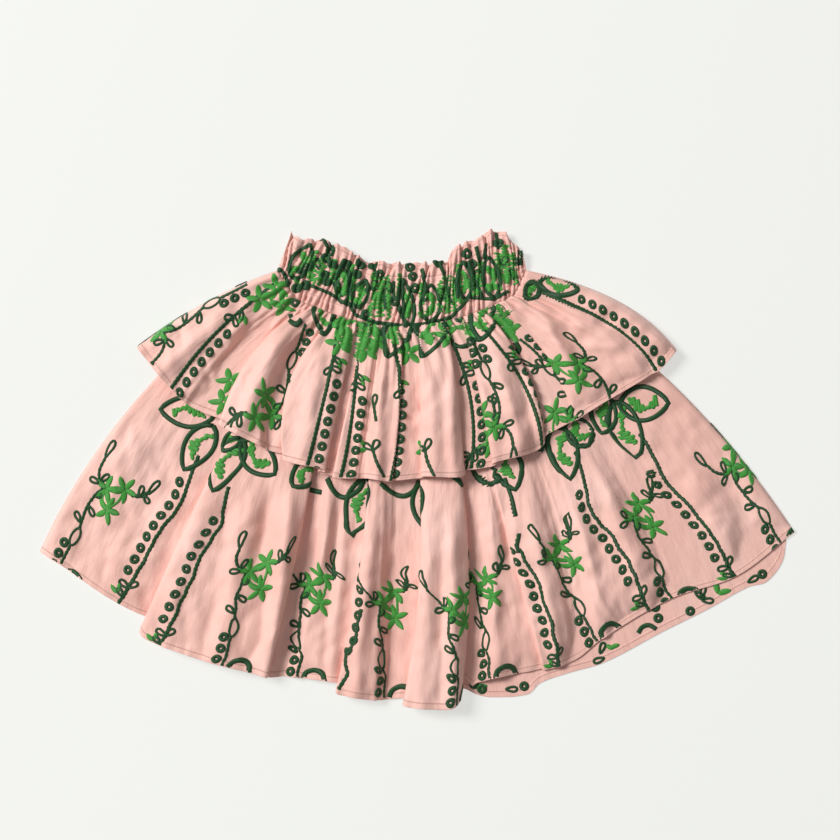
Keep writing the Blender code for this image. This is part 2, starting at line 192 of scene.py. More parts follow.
def add_cloth(name, middle, uv, material, node, hem_distance=np.inf):
    """A closed sheet round a middle surface, moved out along its normals to both sides.

    Its turned hem is a second layer: within the hem's width the sheet is a little thicker."""
    rows, columns = middle.shape[:2]
    hem = np.clip((HEM_FOLD + HEM_STEP - hem_distance) / HEM_STEP, 0, 1)
    half = CLOTH / 2 + HEM_LAYER * np.broadcast_to(hem, (rows, columns))
    out = facing(middle) * half[..., None]
    index = np.arange(rows * columns).reshape(rows, columns)
    a, b, c, d = index[:-1, :-1], index[:-1, 1:], index[1:, 1:], index[1:, :-1]
    top = np.stack([a, d, c, b], -1).reshape(-1, 4)
    rim = np.concatenate([index[:-1, 0], index[-1, :-1], index[:0:-1, -1], index[0, :0:-1]])
    after = np.roll(rim, -1)
    below = rows * columns
    side = np.stack([rim, rim + below, after + below, after], -1)
    quads = np.concatenate([top, top[:, ::-1] + below, side])
    vertices = np.concatenate([(middle + out).reshape(-1, 3), (middle - out).reshape(-1, 3)])
    uv = uv.reshape(-1, 2)
    piece = add_mesh(name, vertices, quads, np.concatenate([uv, uv]), material)
    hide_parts(node)
    return piece


def sateen(name, colour, deep, pale, first_row, row_pitch):
    """Cotton sateen, dyed in the piece: smooth and softly lit, with a faint thread and small creases.

    Rows of sewing show as thin sunk lines, a little darker: the first is so far above the lower edge, and
    the rest follow at a pitch."""
    material, tree, shader = new_finish(name, Roughness=0.62, Sheen_Weight=0.25, Sheen_Roughness=0.5)
    cloth = add_node(tree, "ShaderNodeUVMap", uv_map="cloth").outputs[0]
    place = add_node(tree, "ShaderNodeTexCoord").outputs["Object"]
    bands = {"Vector": cloth, "Scale": THREAD_BANDS, "Distortion": 0.6}
    warp, weft = (
        add_node(tree, "ShaderNodeTexWave", bands, wave_type="BANDS", bands_direction=way).outputs["Fac"]
        for way in "XY"
    )
    thread = add_node(tree, "ShaderNodeMath", {0: warp, 1: weft}, operation="MULTIPLY")
    stretch = add_node(tree, "ShaderNodeMapping", {"Vector": cloth, "Scale": (1.0, 0.35, 1.0)})
    crumple, mottle = (
        add_node(tree, "ShaderNodeTexNoise", {"Vector": over, "Scale": scale, "Detail": 4.0})
        for over, scale in ((stretch.outputs[0], 55.0), (place, 9.0))
    )
    tint = add_node(tree, "ShaderNodeValToRGB", {"Fac": mottle.outputs["Fac"]})
    ramp = tint.color_ramp.elements
    ramp.new(0.5)
    for stop, at, tone in zip(ramp, (0.30, 0.5, 0.70), (deep, colour, pale)):
        stop.position, stop.color = at, linear(tone)
    height = add_node(tree, "ShaderNodeSeparateXYZ", {"Vector": cloth}).outputs["Y"]
    repeated = add_node(tree, "ShaderNodeMath", {0: height, 1: row_pitch}, operation="MODULO").outputs[0]
    near = {0: repeated, 1: first_row, 2: 0.0005}
    row = add_node(tree, "ShaderNodeMath", near, operation="COMPARE").outputs[0]
    relief = None
    for source, strength, distance, sunk in (
        (crumple.outputs["Fac"], 0.6, 0.004, False),
        (thread.outputs[0], 0.25, 0.0002, False),
        (row, 1.0, 0.0006, True),
    ):
        inputs = {"Height": source, "Strength": strength, "Distance": distance}
        if relief:
            inputs["Normal"] = relief
        relief = add_node(tree, "ShaderNodeBump", inputs, invert=sunk).outputs[0]
    tree.links.new(relief, shader.inputs["Normal"])
    tones = {"Factor": row, 6: tint.outputs["Color"], 7: linear("#dfa99b")}
    shade = add_node(tree, "ShaderNodeMix", tones, data_type="RGBA")
    tree.links.new(shade.outputs[2], shader.inputs["Base Color"])
    return material


# One row of sewing 5.2 mm above the hem, and no other
pink_sateen = sateen("pink_cotton_sateen", "#fac6b8", "#f3bcae", "#fdcdc0", 0.0052, 9.0)


def back_seam(share):
    """The back's part of the waist seam, which ends a little inside the front's."""
    return seam_point(0.02 + 0.96 * share)


def flat_back(left, hem, right, step, inset, rows, columns):
    """A back panel's middle surface: parabolas from the seam to its own hem line, level underneath."""
    across = np.linspace(0, 1, columns)
    top = back_seam(across)
    bottom = shared_out(hem, across)
    middle = (top + bottom) / 2
    for end, side, pull in ((0, left, 1 - across), (-1, right, across)):
        middle = middle + (pull**3)[:, None] * (np.array(side, float) - middle[end])
    bend = 2 * middle - (top + bottom) / 2
    length = np.linalg.norm(bottom - top, axis=1).mean()
    v = (inset + (length - inset) * rows[:, None, None]) / length
    plan = (1 - v) ** 2 * top + 2 * v * (1 - v) * bend + v**2 * bottom
    height = np.broadcast_to((BACK_LEVEL + along(step, rows))[:, None], plan.shape[:2])
    return np.dstack([plan, height]), length


def hem_rows(count, length):
    """Rows from the seam to the hem, closer together where the turned hem steps and its edge is."""
    near = 1 - np.array([9.0, 7.4, 6.6, 6.0, 5.0, 3.4, 1.6, 0.5, 0.0]) / length
    return np.concatenate([np.linspace(0, near[0] - 2.0 / length, count), near])


def cut_places(rows, across, width, length):
    """Each grid point's place on the flat cut, in metres: across it, and up from its lower edge."""
    return np.dstack(np.broadcast_arrays(across * width, (1 - rows[:, None]) * length)) * MM


def back_panel(name, left, hem, right, step, inset, rows, columns, cut, node):
    """A back panel from the middle points of its side edges, its hem and its cut width and length."""
    rows = hem_rows(rows, cut[1])
    middle, length = flat_back(left, hem, right, step, inset, rows, columns)
    places = cut_places(rows, np.linspace(0, 1, columns)[None, :], *cut)
    return add_cloth(name, middle, places, pink_sateen, node, ((1 - rows) * length)[:, None])


upper_back = back_panel(
    "upper_back_panel", (-207, 167), UPPER_BACK_HEM, (195, 166), ((0.0, 0.0), (1.0, 0.0)), 0.3, 24, 121,
    (1000, 160), "upper_tier_back",
)
lower_back = back_panel(
    "lower_back_panel", (-272, 68), LOWER_BACK_HEM, (246, 80), LOWER_BACK_STEP, 6.0, 60, 201, (1000, 360),
    "lower_tier_back",
)

# Front panel of the lower tier
# The same sateen, cut 1 m wide and 360 mm long and gathered into the waist seam. It was laid down in deep
# folds that fan out to the hem, and soft creases run between them.
# The gathers' share of the length, height and pitch at the seam, the rolled side edge's width, and the
# tightest bend that a tuck may have
GATHER_FADE, GATHER_HEIGHT, GATHER_PITCH, SIDE_ROLL, TIGHTEST_BEND = 0.24, 1.6, 8.0, 9.0, 0.8
# Each row is a fold's visible edge: its share of the seam, its middle and hem points, whether the cloth
# to its right lies higher (1) or lower (-1), its tuck, its width, the level to its right, and how much
# further down the hem reaches on its left and on its right.
LOWER_FOLDS = (
    (0.0, -282, 69, -376, -78, 0, 0, 0, 2.0, 0, 4),
    (0.10, -205, -2, -277, -160, 1, 8.0, 8.0, 12.0, -17, 4),
    (0.22, -108, -18, -150, -206, -1, 8.0, 7.0, 0.0, 0, 0),
    (0.27, -88, -20, -129, -206, 1, 0.0, 12.0, 4.5, 0, 0),
    (0.36, -50, -33, -80, -216, 1, 3.5, 6.0, 12.0, -4, 6),
    (0.44, -28, -35, -36, -226, -1, 0.0, 14.0, 1.5, 4, 2),
    (0.49, 4, -36, -13, -228, 1, 6.5, 7.0, 15.0, -1, 6),
    (0.58, 46, -36, 41, -230, -1, 7.0, 8.0, 0.0, 5, -18),
    (0.62, 66, -36, 60, -212, 1, 0.0, 14.0, 5.0, 0, 0),
    (0.68, 80, -30, 125, -200, 1, 2.0, 8.0, 10.0, -2, 0),
    (0.74, 122, -22, 158, -189, -1, 0.0, 15.0, 3.0, 0, 0),
    (0.78, 140, -16, 182, -170, 1, 0.0, 16.0, 7.5, 0, 0),
    (0.84, 180, 12, 252, -128, -1, 0.0, 20.0, 1.0, 1, 1),
    (0.90, 222, 22, 318, -106, 1, 0.0, 22.0, 4.0, 0, 0),
    (1.0, 257, 83, 376, -62, 0, 0, 0, 0.0, 0, 0),
)
LOWER_FOLD_GROWTH = ((0.0, 0.0), (0.40, 0.46), (0.50, 0.76), (0.60, 1.0), (1.0, 1.0))
LOWER_FRONT_STEP = ((0.0, 1.0), (0.52, 1.0), (0.66, 0.0), (1.0, 0.0))
# The level it lies on at the hem, how much more at the seam, its length, and the height of its creases and
# of its wrinkles against their tables
LOWER_LEVEL, LOWER_STEP, LOWER_LENGTH, LOWER_CREASE_SCALE, LOWER_WRINKLE_SCALE = 2.1, 1.5, 350.0, 1.35, 1.3


class FrontPanel:
    """The middle surface of a tier's front panel, as a function of v, from seam to hem, and w.

    The whole part of w counts panels and folds from the left: 0 is the first panel, 1 the first fold,
    2 the second panel and so on. The rest of w, called q, runs across that panel or fold."""

    def __init__(self, folds, growth, lift, side_lift, gathered):
        seam, *plan, rises, tucks, widths, levels, left_drop, right_drop = np.array(folds, float).T
        self.growth, self.lift, self.side_lift = growth, lift, side_lift
        self.start = seam_point(seam)
        self.middle, self.end = np.array(plan[:2]).T, np.array(plan[2:]).T
        self.length = np.linalg.norm(self.end - self.start, axis=1).mean()
        self.levels, self.drops = levels[:-1], np.array([left_drop, right_drop]).T
        self.rises, self.tucks, self.widths = rises[1:-1], tucks[1:-1], widths[1:-1]
        pitches = np.linalg.norm(np.diff(self.start, axis=0), axis=1) / GATHER_PITCH
        self.gathers = np.maximum(1, np.round(pitches)) * gathered

    def guides_at(self, v):
        """The guide lines at each v: parabolas through their seam, middle and hem points."""
        v = v[:, None, None]
        bend = 2 * self.middle - (self.start + self.end) / 2
        return (1 - v) ** 2 * self.start + 2 * v * (1 - v) * bend + v**2 * self.end

    def across(self, v, part, q):
        """Distance from the panel's left edge. A fold runs back on itself by a sine wave of its tuck."""
        whole = chords(self.guides_at(v))
        grown = along(self.growth, v)[:, None]
        rises = np.abs(np.diff(self.levels)) * grown
        tucks = np.minimum(self.tucks * grown, rises**2 / (11 * TIGHTEST_BEND))
        widths = self.widths * np.clip(0.55 + 0.9 * v, 0, 1)[:, None]
        centres = whole[:, 1:-1] + self.rises * np.maximum(0, tucks - widths / 4) * (tucks > 0)
        row, last = np.arange(len(v)), len(self.tucks)
        fold = np.minimum(part // 2, last - 1)
        before = np.maximum(part // 2 - 1, 0)
        on_fold = centres[row, fold] + widths[row, fold] * (q - 0.5)
        on_fold = on_fold + tucks[row, fold] * np.sin(2 * math.pi * q)
        left = np.where(part // 2 == 0, 0.0, (centres + widths / 2)[row, before])
        right = np.where(part // 2 == last, whole[:, -1], (centres - widths / 2)[row, fold])
        return np.where(part % 2, on_fold, left + (right - left) * q), whole[:, -1]

    def surface(self, v, w):
        """Points of the middle surface in millimetres, for arrays v and w of one length."""
        last = len(self.tucks)
        part = np.clip(np.floor(w).astype(int), 0, 2 * last)
        q = w - part
        panel = part // 2
        after = np.minimum(panel + 1, last)
        a, whole = self.across(v, part, q)
        turn = np.where(part % 2, q - 0.9 * np.sin(4 * math.pi * q) / (4 * math.pi), q)
        fold_drop = self.drops[after, 0] * (1 - turn) + self.drops[after, 1] * turn
        panel_drop = self.drops[panel, 1] * (1 - q) + self.drops[panel + 1, 0] * q
        drop = np.where(part % 2, fold_drop, panel_drop)
        plan = through(self.guides_at(v + drop / self.length * v**2), a)
        on_fold = self.levels[panel] * (1 - turn) + self.levels[after] * turn
        crowned = self.levels[panel] * (1 + 0.10 * np.sin(math.pi * q) ** 2)
        height = self.lift(v) + np.where(part % 2, on_fold, crowned) * along(self.growth, v)
        fade = np.clip(1 - v / GATHER_FADE, 0, 1) ** 2
        gather = np.sin(math.pi * self.gathers[panel] * q) ** 2 * (self.gathers[panel] > 0)
        height += np.where(part % 2, 0.0, GATHER_HEIGHT * fade * gather)
        edge = np.clip(np.minimum(a, whole - a) / SIDE_ROLL, 0, 1)
        roll = np.sqrt(1 - (1 - edge) ** 2)
        height = self.side_lift(v) + (height - self.side_lift(v)) * roll
        return np.column_stack([plan, height])

    def columns(self, pitch):
        """Values of w: about a pitch apart over each panel, 18 over a fold with a tuck and 7 over another."""
        widths = np.diff(chords(self.end))
        found = []
        for k, width in enumerate(widths):
            count = max(4, int(width / pitch))
            found.append(2 * k + np.arange(count) / count)
            if k < len(self.tucks):
                count = 18 if self.tucks[k] else 7
                found.append(2 * k + 1 + np.arange(count) / count)
        return np.concatenate([*found, [2 * len(self.tucks) + 1 - 1e-9]])


def banks(table, x, y):
    """Soft ridges and troughs, each a bell-shaped bank along a bowed line that fades at both ends.

    A row is the line's two ends, its bow to the left, and the bank's half width and height."""
    rise = np.zeros_like(x)
    for x0, y0, x1, y1, bow, width, height in table:
        reach = math.hypot(x1 - x0, y1 - y0)
        ux, uy = (x1 - x0) / reach, (y1 - y0) / reach
        t = ((x - x0) * ux + (y - y0) * uy) / reach
        off = (y - y0) * ux - (x - x0) * uy - 4 * bow * t * (1 - t)
        ends = np.clip(t / 0.3, 0, 1) * np.clip((1 - t) / 0.3, 0, 1)
        rise += height * np.exp(-((off / width) ** 2)) * ends**2 * (3 - 2 * ends)
    return rise


def crumples(x, y):
    """The crisp cotton's unevenness: waves in several directions, each bent by a slower one.

    Half of each wave is a sine, and half is the softened size of a sine, which gives it narrow ridges."""
    rise = 0.0
    for across, down, start, height in (
        (0.11, 0.02, 0.3, 0.60), (0.05, 0.09, 1.9, 0.55), (-0.14, 0.05, 4.0, 0.50), (0.20, -0.07, 2.2, 0.36),
        (0.03, -0.17, 5.1, 0.34), (0.28, 0.10, 0.9, 0.24), (-0.10, 0.13, 2.7, 0.42),
    ):
        bend = 1.9 * np.sin(0.37 * (down * x - across * y) + 2 * start)
        wave = np.sin(across * x + down * y + start + bend)
        rise = rise + height * (0.6 * wave - 0.9 * np.sqrt(wave**2 + 0.02))
    return rise + 1.4


def seam_gathers(share, down, waves, reach, height):
    """Fine uneven pleats under a gathering thread: a sine wave whose pitch and reach drift along the seam."""
    drift = 0.8 * np.sin(2 * math.pi * 6 * share + 1.0) + 0.6 * np.sin(2 * math.pi * 13 * share + 0.3)
    wave = np.sin(2 * math.pi * waves * share + 1.7 * drift)
    far = reach * (1 + 0.45 * np.sin(2 * math.pi * 9 * share + 0.7) + 0.25 * np.sin(2 * math.pi * 23 * share))
    return height * wave * np.exp(-((down / far) ** 2))


class LaidCloth:
    """A laid panel's outer face as a grid of points, so that stitches can be set on it.

    Rows run from side to side, seam (0) to hem (1). walked is the distance along each row, over the folds
    unless it is given another way."""

    def __init__(self, rows, middle, walked=None):
        self.rows = rows
        self.out = facing(middle)
        self.face = middle + self.out * CLOTH / 2
        self.walked = chords(self.face) if walked is None else walked
        self.total = self.walked[:, -1]

    def find(self, x, y):
        """The row value and share of the width of the topmost point within 3 mm of a place in plan."""
        off = np.hypot(self.face[..., 0] - x, self.face[..., 1] - y)
        off = off - np.where(off < max(3.0, off.min() + 0.1), 100 + self.face[..., 2], 0)
        row, column = np.unravel_index(np.argmin(off), off.shape)
        return self.rows[row], self.walked[row, column] / self.total[row]

    def lay(self, v, walked, height):
        """Points at a height over the cloth. Each is found along the rows above and below it, and then lies
        between the same two columns in both."""
        at = np.interp(v, self.rows, np.arange(len(self.rows)))
        row = np.minimum(at.astype(int), len(self.rows) - 2)
        below = at - row
        columns = self.walked.shape[1]
        step = self.total.max() * 2
        flat = (self.walked + step * np.arange(len(self.rows))[:, None]).ravel()
        place = 0.0
        for r, weight in ((row, 1 - below), (row + 1, below)):
            want = np.clip(walked, 0, self.total[r] - 1e-6)
            k = np.clip(np.searchsorted(flat, want + step * r, "right") - 1 - r * columns, 0, columns - 2)
            span = np.maximum(self.walked[r, k + 1] - self.walked[r, k], 1e-9)
            place = place + (k + np.clip((want - self.walked[r, k]) / span, 0, 1)) * weight
        k = np.minimum(place.astype(int), columns - 2)
        t, f = (place - k)[:, None], below[:, None]
        point, out = (
            (g[row, k] * (1 - t) + g[row, k + 1] * t) * (1 - f)
            + (g[row + 1, k] * (1 - t) + g[row + 1, k + 1] * t) * f
            for g in (self.face, self.out)
        )
        return point + out * height[:, None]


def front_panel(name, panel, trim, row_count, pitch, cut, detail, node, level=False):
    """A front panel as cloth: its fold surface, with creases and gathers that lift its points.

    It starts so far (trim) below the seam's line. Its stitches' places are measured over the folds, or in
    plan (level) where gathers are steep. No crease sinks below the level on which the panel lies."""
    rows = hem_rows(row_count, cut[1] * 0.8)
    columns = panel.columns(pitch)
    v, w = (g.ravel() for g in np.meshgrid(rows, columns, indexing="ij"))
    start = trim / panel.length
    middle = panel.surface(start + (1 - start) * v, w).reshape(len(rows), len(columns), 3)
    walked = chords(middle)
    share = walked / walked[:, -1:]
    side = np.clip(np.minimum(walked, walked[:, -1:] - walked) / 14, 0, 1)
    lifted = middle[..., 2] + detail(middle[..., 0], middle[..., 1], rows[:, None], share) * side
    lowest = np.minimum(middle[..., 2], panel.lift(rows)[:, None] + 0.1)
    middle[..., 2] = np.maximum(lifted, lowest)
    places, hem_distance = cut_places(rows, share, *cut), ((1 - rows) * panel.length)[:, None]
    piece = add_cloth(name, middle, places, pink_sateen, node, hem_distance)
    return piece, LaidCloth(rows, middle, chords(middle[..., :2]) if level else None)


def lower_lift(v):
    """The height on which the lower panel lies: on the back panels at the seam, and lower at the hem."""
    return LOWER_LEVEL + LOWER_STEP * along(LOWER_FRONT_STEP, v)


# The x and y of both ends, bow, half width and height of each soft ridge (above 0) or trough (below 0)
LOWER_CREASES = (
    (-285, 50, -326, -70, 4, 18, 2.6),
    (-345, -10, -372, -110, 0, 12, 1.6),
    (-306, 0, -345, -110, 0, 9, -2.2),
    (-262, 66, -292, -10, 3, 8, 2.0),
    (-290, 72, -312, 6, 0, 6, 1.6),
    (-318, 16, -284, 40, 0, 7, -1.8),
    (-262, 30, -240, -30, 0, 8, -2.2),
    (-285, -60, -320, -140, 0, 12, 2.5),
    (-213, 30, -304, -158, 0, 12, 2.5),
    (-202, 0, -262, -190, 0, 11, 2.5),
    (-172, 10, -222, -210, 0, 10, -2.0),
    (-165, 0, -205, -240, 0, 13, 3.5),
    (-140, 0, -164, -110, 0, 8, -4.5),
    (-121, 10, -160, -250, 4, 8, 6.0),
    (-86, 10, -98, -120, 0, 6, 6.0),
    (-76, 0, -94, -200, 0, 4, -2.0),
    (-68, -10, -92, -262, 0, 6, 2.5),
    (-44, -20, -66, -268, 0, 8, 4.5),
    (-26, -20, -24, -275, 0, 7, -3.0),
    (14, -10, 0, -289, 0, 9, 4.0),
    (26, -10, 24, -200, 0, 7, -2.0),
    (36, 20, 33, -289, 0, 8, 5.5),
    (66, 20, 84, -272, 0, 9, 4.5),
    (82, -10, 94, -110, 0, 5, -3.0),
    (106, 0, 152, -250, 0, 7, 4.5),
    (127, -10, 171, -235, 0, 7, -3.0),
    (150, 0, 198, -225, 0, 9, 4.5),
    (172, 20, 246, -168, 0, 10, 4.5),
    (196, 20, 262, -120, 0, 8, -2.0),
    (222, 10, 297, -128, 0, 14, -3.0),
    (256, 24, 338, -130, 0, 14, 5.0),
    (302, 10, 352, -112, 0, 12, -3.0),
    (300, 30, 372, -70, 0, 8, 2.0),
    (30, -262, 480, -4, 0, 20, -8.0),
    (-135, 20, -135, -110, 0, 14, 3.5),
    (22, 10, 22, -120, 0, 14, 3.0),
)

# The small sharp wrinkles between them, in the same columns
LOWER_WRINKLES = (
    (-318, 42, -268, 52, 0, 8, -1.5),
    (-276, 42, -304, 4, 0, 3, 1.3),
    (-238, 47, -260, 13, 2, 4, -1.6),
    (-283, -30, -268, -52, 0, 3, -1.1),
    (-330, -38, -266, -66, 2, 5, 1.1),
    (-300, -77, -256, -59, 0, 3, -0.9),
    (-118, -128, -166, -190, 2, 3, 1.4),
    (-118, -134, -144, -194, 0, 3, -1.2),
    (-152, -166, -175, -198, 0, 4, -1.2),
    (-110, -172, -80, -148, 0, 3, 0.9),
    (-102, -188, -74, -168, 0, 3, -0.9),
    (-34, -86, -16, -126, 0, 4, -1.2),
    (3, -106, 6, -140, 0, 2.5, -1.5),
    (23, -166, 13, -226, 0, 3, 1.1),
    (33, -176, 29, -232, 0, 3, -1.1),
    (74, -54, 100, -33, 0, 4, -1.2),
    (79, -128, 116, -154, 0, 4, -1.1),
    (100, -174, 130, -128, 2, 4, 1.1),
    (150, -86, 186, -118, 0, 4, -1.2),
    (170, -112, 188, -154, 0, 3, -1.3),
    (180, -126, 206, -164, 0, 3, 1.3),
    (196, -128, 216, -158, 0, 3, -1.1),
    (230, -32, 262, -44, 0, 3, -1.2),
    (238, -58, 276, -78, 0, 4, 1.2),
    (268, -86, 300, -105, 0, 4, -1.2),
    (314, -66, 346, -78, 0, 4, 1.1),
    (280, -47, 320, -40, 0, 3, -0.8),
)


def lower_detail(x, y, v, share):
    """The lower panel's creases, which grow from the seam to the hem, and its fine gathers at the seam."""
    grown = along(((0.0, 0.0), (0.38, 0.15), (0.6, 1.0), (1.0, 1.0)), v)
    small = banks(LOWER_WRINKLES, x, y) + crumples(x, y)
    creased = (LOWER_CREASE_SCALE * banks(LOWER_CREASES, x, y) + LOWER_WRINKLE_SCALE * small) * grown
    return creased + seam_gathers(share, v * LOWER_LENGTH, 46, 60, 0.9)


lower_front, lower_cloth = front_panel(
    "lower_front_panel", FrontPanel(LOWER_FOLDS, LOWER_FOLD_GROWTH, lower_lift, lower_lift, 0), 6.0, 88, 3.2,
    (1000, 360), lower_detail, "lower_tier_front",
)

# Front panel of the upper tier
# The same cloth, cut 1 m wide and 160 mm long and gathered into the waist seam over the lower tier. It
# lies on that tier, and its hem stands off it in short folds.
UPPER_FOLDS = (
    (0.0, -211, 168, -280, 123, 0, 0, 0, 8.0, 0, 0),
    (0.08, -186, 126, -232, 68, -1, 0.0, 14.0, 0.0, 0, 0),
    (0.15, -161, 120, -196, 47, 1, 4.0, 6.0, 10.0, -3, 2),
    (0.20, -140, 98, -152, 22, -1, 0.0, 10.0, 1.0, 0, 0),
    (0.25, -126, 92, -133, 12, 1, 2.5, 6.0, 9.0, -5, 2),
    (0.32, -76, 78, -91, 0, -1, 4.0, 6.0, 1.0, 0, 5),
    (0.36, -68, 72, -84, -6, 1, 2.5, 5.0, 6.5, 0, 1),
    (0.41, -50, 66, -61, -8, -1, 0.0, 6.0, 1.5, 0, 0),
    (0.45, -42, 66, -51, -8, 1, 0.0, 6.0, 6.5, 0, 0),
    (0.50, -18, 66, -25, -10, -1, 3.0, 5.0, 1.5, 1, 0),
    (0.57, 3, 66, 4, -6, 1, 3.0, 6.0, 9.0, 2, 0),
    (0.68, 39, 72, 45, -6, -1, 5.0, 6.0, 0.0, 0, -5),
    (0.74, 60, 82, 74, 6, 1, 4.5, 6.0, 10.0, 2, -1),
    (0.83, 108, 94, 123, 22, -1, 5.0, 6.0, 0.0, 0, -10),
    (0.89, 128, 112, 160, 54, 1, 4.0, 6.0, 4.5, 2, 3),
    (0.95, 190, 142, 236, 98, 1, 0.0, 10.0, 4.0, 0, 2),
    (1.0, 199, 169, 258, 120, 0, 0, 0, 0.0, 0, 0),
)
UPPER_FOLD_GROWTH = ((0.0, 0.12), (0.10, 0.55), (0.28, 0.88), (0.5, 1.0), (1.0, 1.0))
# Its level at the seam, its rise to the hem, the fall of its side edges, its length, and its creases' height
# against their tables
UPPER_LEVEL, UPPER_RISE, UPPER_SIDE_FALL, UPPER_LENGTH, UPPER_CREASE_SCALE = 5.9, 6.9, 3.8, 165.0, 1.2
UPPER_CREASES = (
    (-178, 170, -278, 82, 4, 10, 4.5),
    (-160, 168, -240, 60, 3, 8, 3.5),
    (-140, 165, -215, 52, 2, 7, -4.0),
    (-124, 158, -190, 12, 0, 9, 5.5),
    (-150, 178, -205, 86, 2, 6, -3.0),
    (-110, 150, -158, 2, 0, 6, -3.0),
    (-94, 146, -120, -22, 0, 9, 4.5),
    (-78, 140, -98, -10, 0, 5, 2.5),
    (-58, 132, -70, -32, 0, 6, -3.0),
    (-36, 130, -41, -39, 0, 6, 4.5),
    (-13, 126, -18, -36, 0, 7, 3.5),
    (14, 126, 16, -36, 0, 9, 3.5),
    (32, 128, 36, -30, 0, 6, 4.0),
    (52, 130, 62, -24, 0, 6, -4.0),
    (74, 140, 109, -8, 0, 8, 5.0),
    (92, 140, 123, 1, 0, 6, -3.5),
    (112, 168, 172, 62, 2, 7, 6.0),
    (94, 166, 150, 66, 0, 6, -5.0),
    (118, 175, 205, 60, 4, 7, -2.5),
    (127, 178, 246, 70, 5, 9, 4.5),
    (142, 182, 267, 105, 5, 9, 3.5),
    (30, -46, 340, 172, 0, 14, -6.0),
)

UPPER_WRINKLES = (
    (-238, 148, -231, 118, 0, 3, -1.3),
    (-214, 108, -201, 72, 0, 4, -1.6),
    (-240, 73, -200, 87, 0, 4, 1.1),
    (-172, 138, -134, 152, 0, 4, 1.3),
    (-158, 118, -136, 96, 0, 5, -1.3),
    (-185, 93, -154, 110, 0, 4, 1.1),
    (-118, 72, -110, 38, 0, 4, -1.1),
    (-98, 114, -109, 76, 0, 4, -1.3),
    (-18, 61, 4, 54, 0, 4, -1.3),
    (-1, 74, 7, 53, 0, 2.5, -1.5),
    (77, 114, 99, 72, 0, 5, -1.6),
    (120, 172, 162, 142, 0, 4, -1.6),
    (110, 152, 176, 139, 0, 4, 1.6),
    (115, 136, 186, 124, 0, 4, -1.2),
    (130, 172, 186, 143, 0, 4, 1.3),
    (140, 131, 206, 118, 0, 4, 1.1),
    (154, 78, 174, 58, 0, 3, -1.1),
)


def upper_lift(v):
    """The height on which the upper panel lies: over the lower tier's folds, and higher at its hem."""
    return UPPER_LEVEL + UPPER_RISE * v


def upper_side_lift(v):
    """The height of its rolled side edges, which come down beside the lower tier."""
    return UPPER_LEVEL - UPPER_SIDE_FALL * np.clip(v / 0.3, 0, 1)


def upper_detail(x, y, v, share):
    """The upper panel's creases and fine gathers, and the groove where it is sewn to the yoke."""
    down = v * UPPER_LENGTH
    grown = along(((0.0, 0.3), (0.4, 1.0), (1.0, 1.0)), v)
    small = banks(UPPER_WRINKLES, x, y) + crumples(x, y)
    pinch = -1.6 * np.exp(-((down / 2.5) ** 2))
    creased = UPPER_CREASE_SCALE * (banks(UPPER_CREASES, x, y) + small) * grown
    return creased + seam_gathers(share, down, 44, 42, 2.0) + pinch


upper_panel = FrontPanel(UPPER_FOLDS, UPPER_FOLD_GROWTH, upper_lift, upper_side_lift, 1)
upper_front, upper_cloth = front_panel(
    "upper_front_panel", upper_panel, 0.0, 60, 3.0, (1000, 160), upper_detail, "upper_tier_front", level=True,
)

# Yoke
# A band of the same cotton, shirred on six rows of elastic thread. Each row pinches the gathers, the
# cloth puffs out between the rows, and the heading above the top row frills.
# Gathers and frills across it, rows of elastic, the heading's share of its height, its cut width and length,
# the level it lies on, and the share of its height that is pinched into the seam
GATHERS, FRILLS, SHIRRING_ROWS, HEADING_SHARE = 44, 13, 6, 0.22
YOKE_CUT, YOKE_LEVEL, SEAM_PINCH = (750, 80), 6.4, 0.025
YOKE_TOP = (
    (-126, 236), (-117, 228), (-100, 229), (-82, 224), (-48, 208), (-8, 206), (27, 208), (36, 220),
    (60, 231), (77, 239), (92, 231), (104, 216),
)


def yoke_middle(v, w):
    """The shirred front: v runs from the heading's edge (0) to the seam (1), and w across.

    Gathers are cosine waves whose height swells as a squared sine between the rows of elastic, and whose
    pitch drifts. Above the top row they open into the broader waves of the frill."""
    plan = shared_out(YOKE_TOP, w) * (1 - v[:, None]) + shared_out(upper_panel.start, w) * v[:, None]
    heading = np.clip((HEADING_SHARE - v) / HEADING_SHARE, 0, 1)
    rows = (v - HEADING_SHARE) / (1 - HEADING_SHARE) * (SHIRRING_ROWS - 1)
    puff = np.where(v > HEADING_SHARE, np.sin(math.pi * rows) ** 2, 1 - heading)
    drift = 0.30 * np.sin(2 * math.pi * 7 * w + 5 * v) + 0.22 * np.sin(2 * math.pi * 11 * w - 3 * v)
    gather = np.cos(2 * math.pi * (GATHERS * w + drift))
    frill = np.cos(2 * math.pi * (FRILLS * w + 0.9 * drift) + 1.0)
    uneven = 1 + 0.5 * np.sin(2 * math.pi * 17 * w + 9 * v) * np.sin(2 * math.pi * 5 * w)
    body = (0.8 + 1.2 * puff) * gather * uneven + 0.9 * np.cos(2 * math.pi * (FRILLS * w + drift) + 6 * v)
    height = YOKE_LEVEL + 0.4 * v + body * (1 - 0.6 * heading) + 2.6 * heading * frill
    tucked = np.clip((v - 1 + SEAM_PINCH) / SEAM_PINCH, 0, 1)
    plan[:, 1] += 0.3 + heading * (0.5 * gather + 2.2 * frill) - 1.5 * tucked
    return np.column_stack([plan, height - 1.8 * tucked])


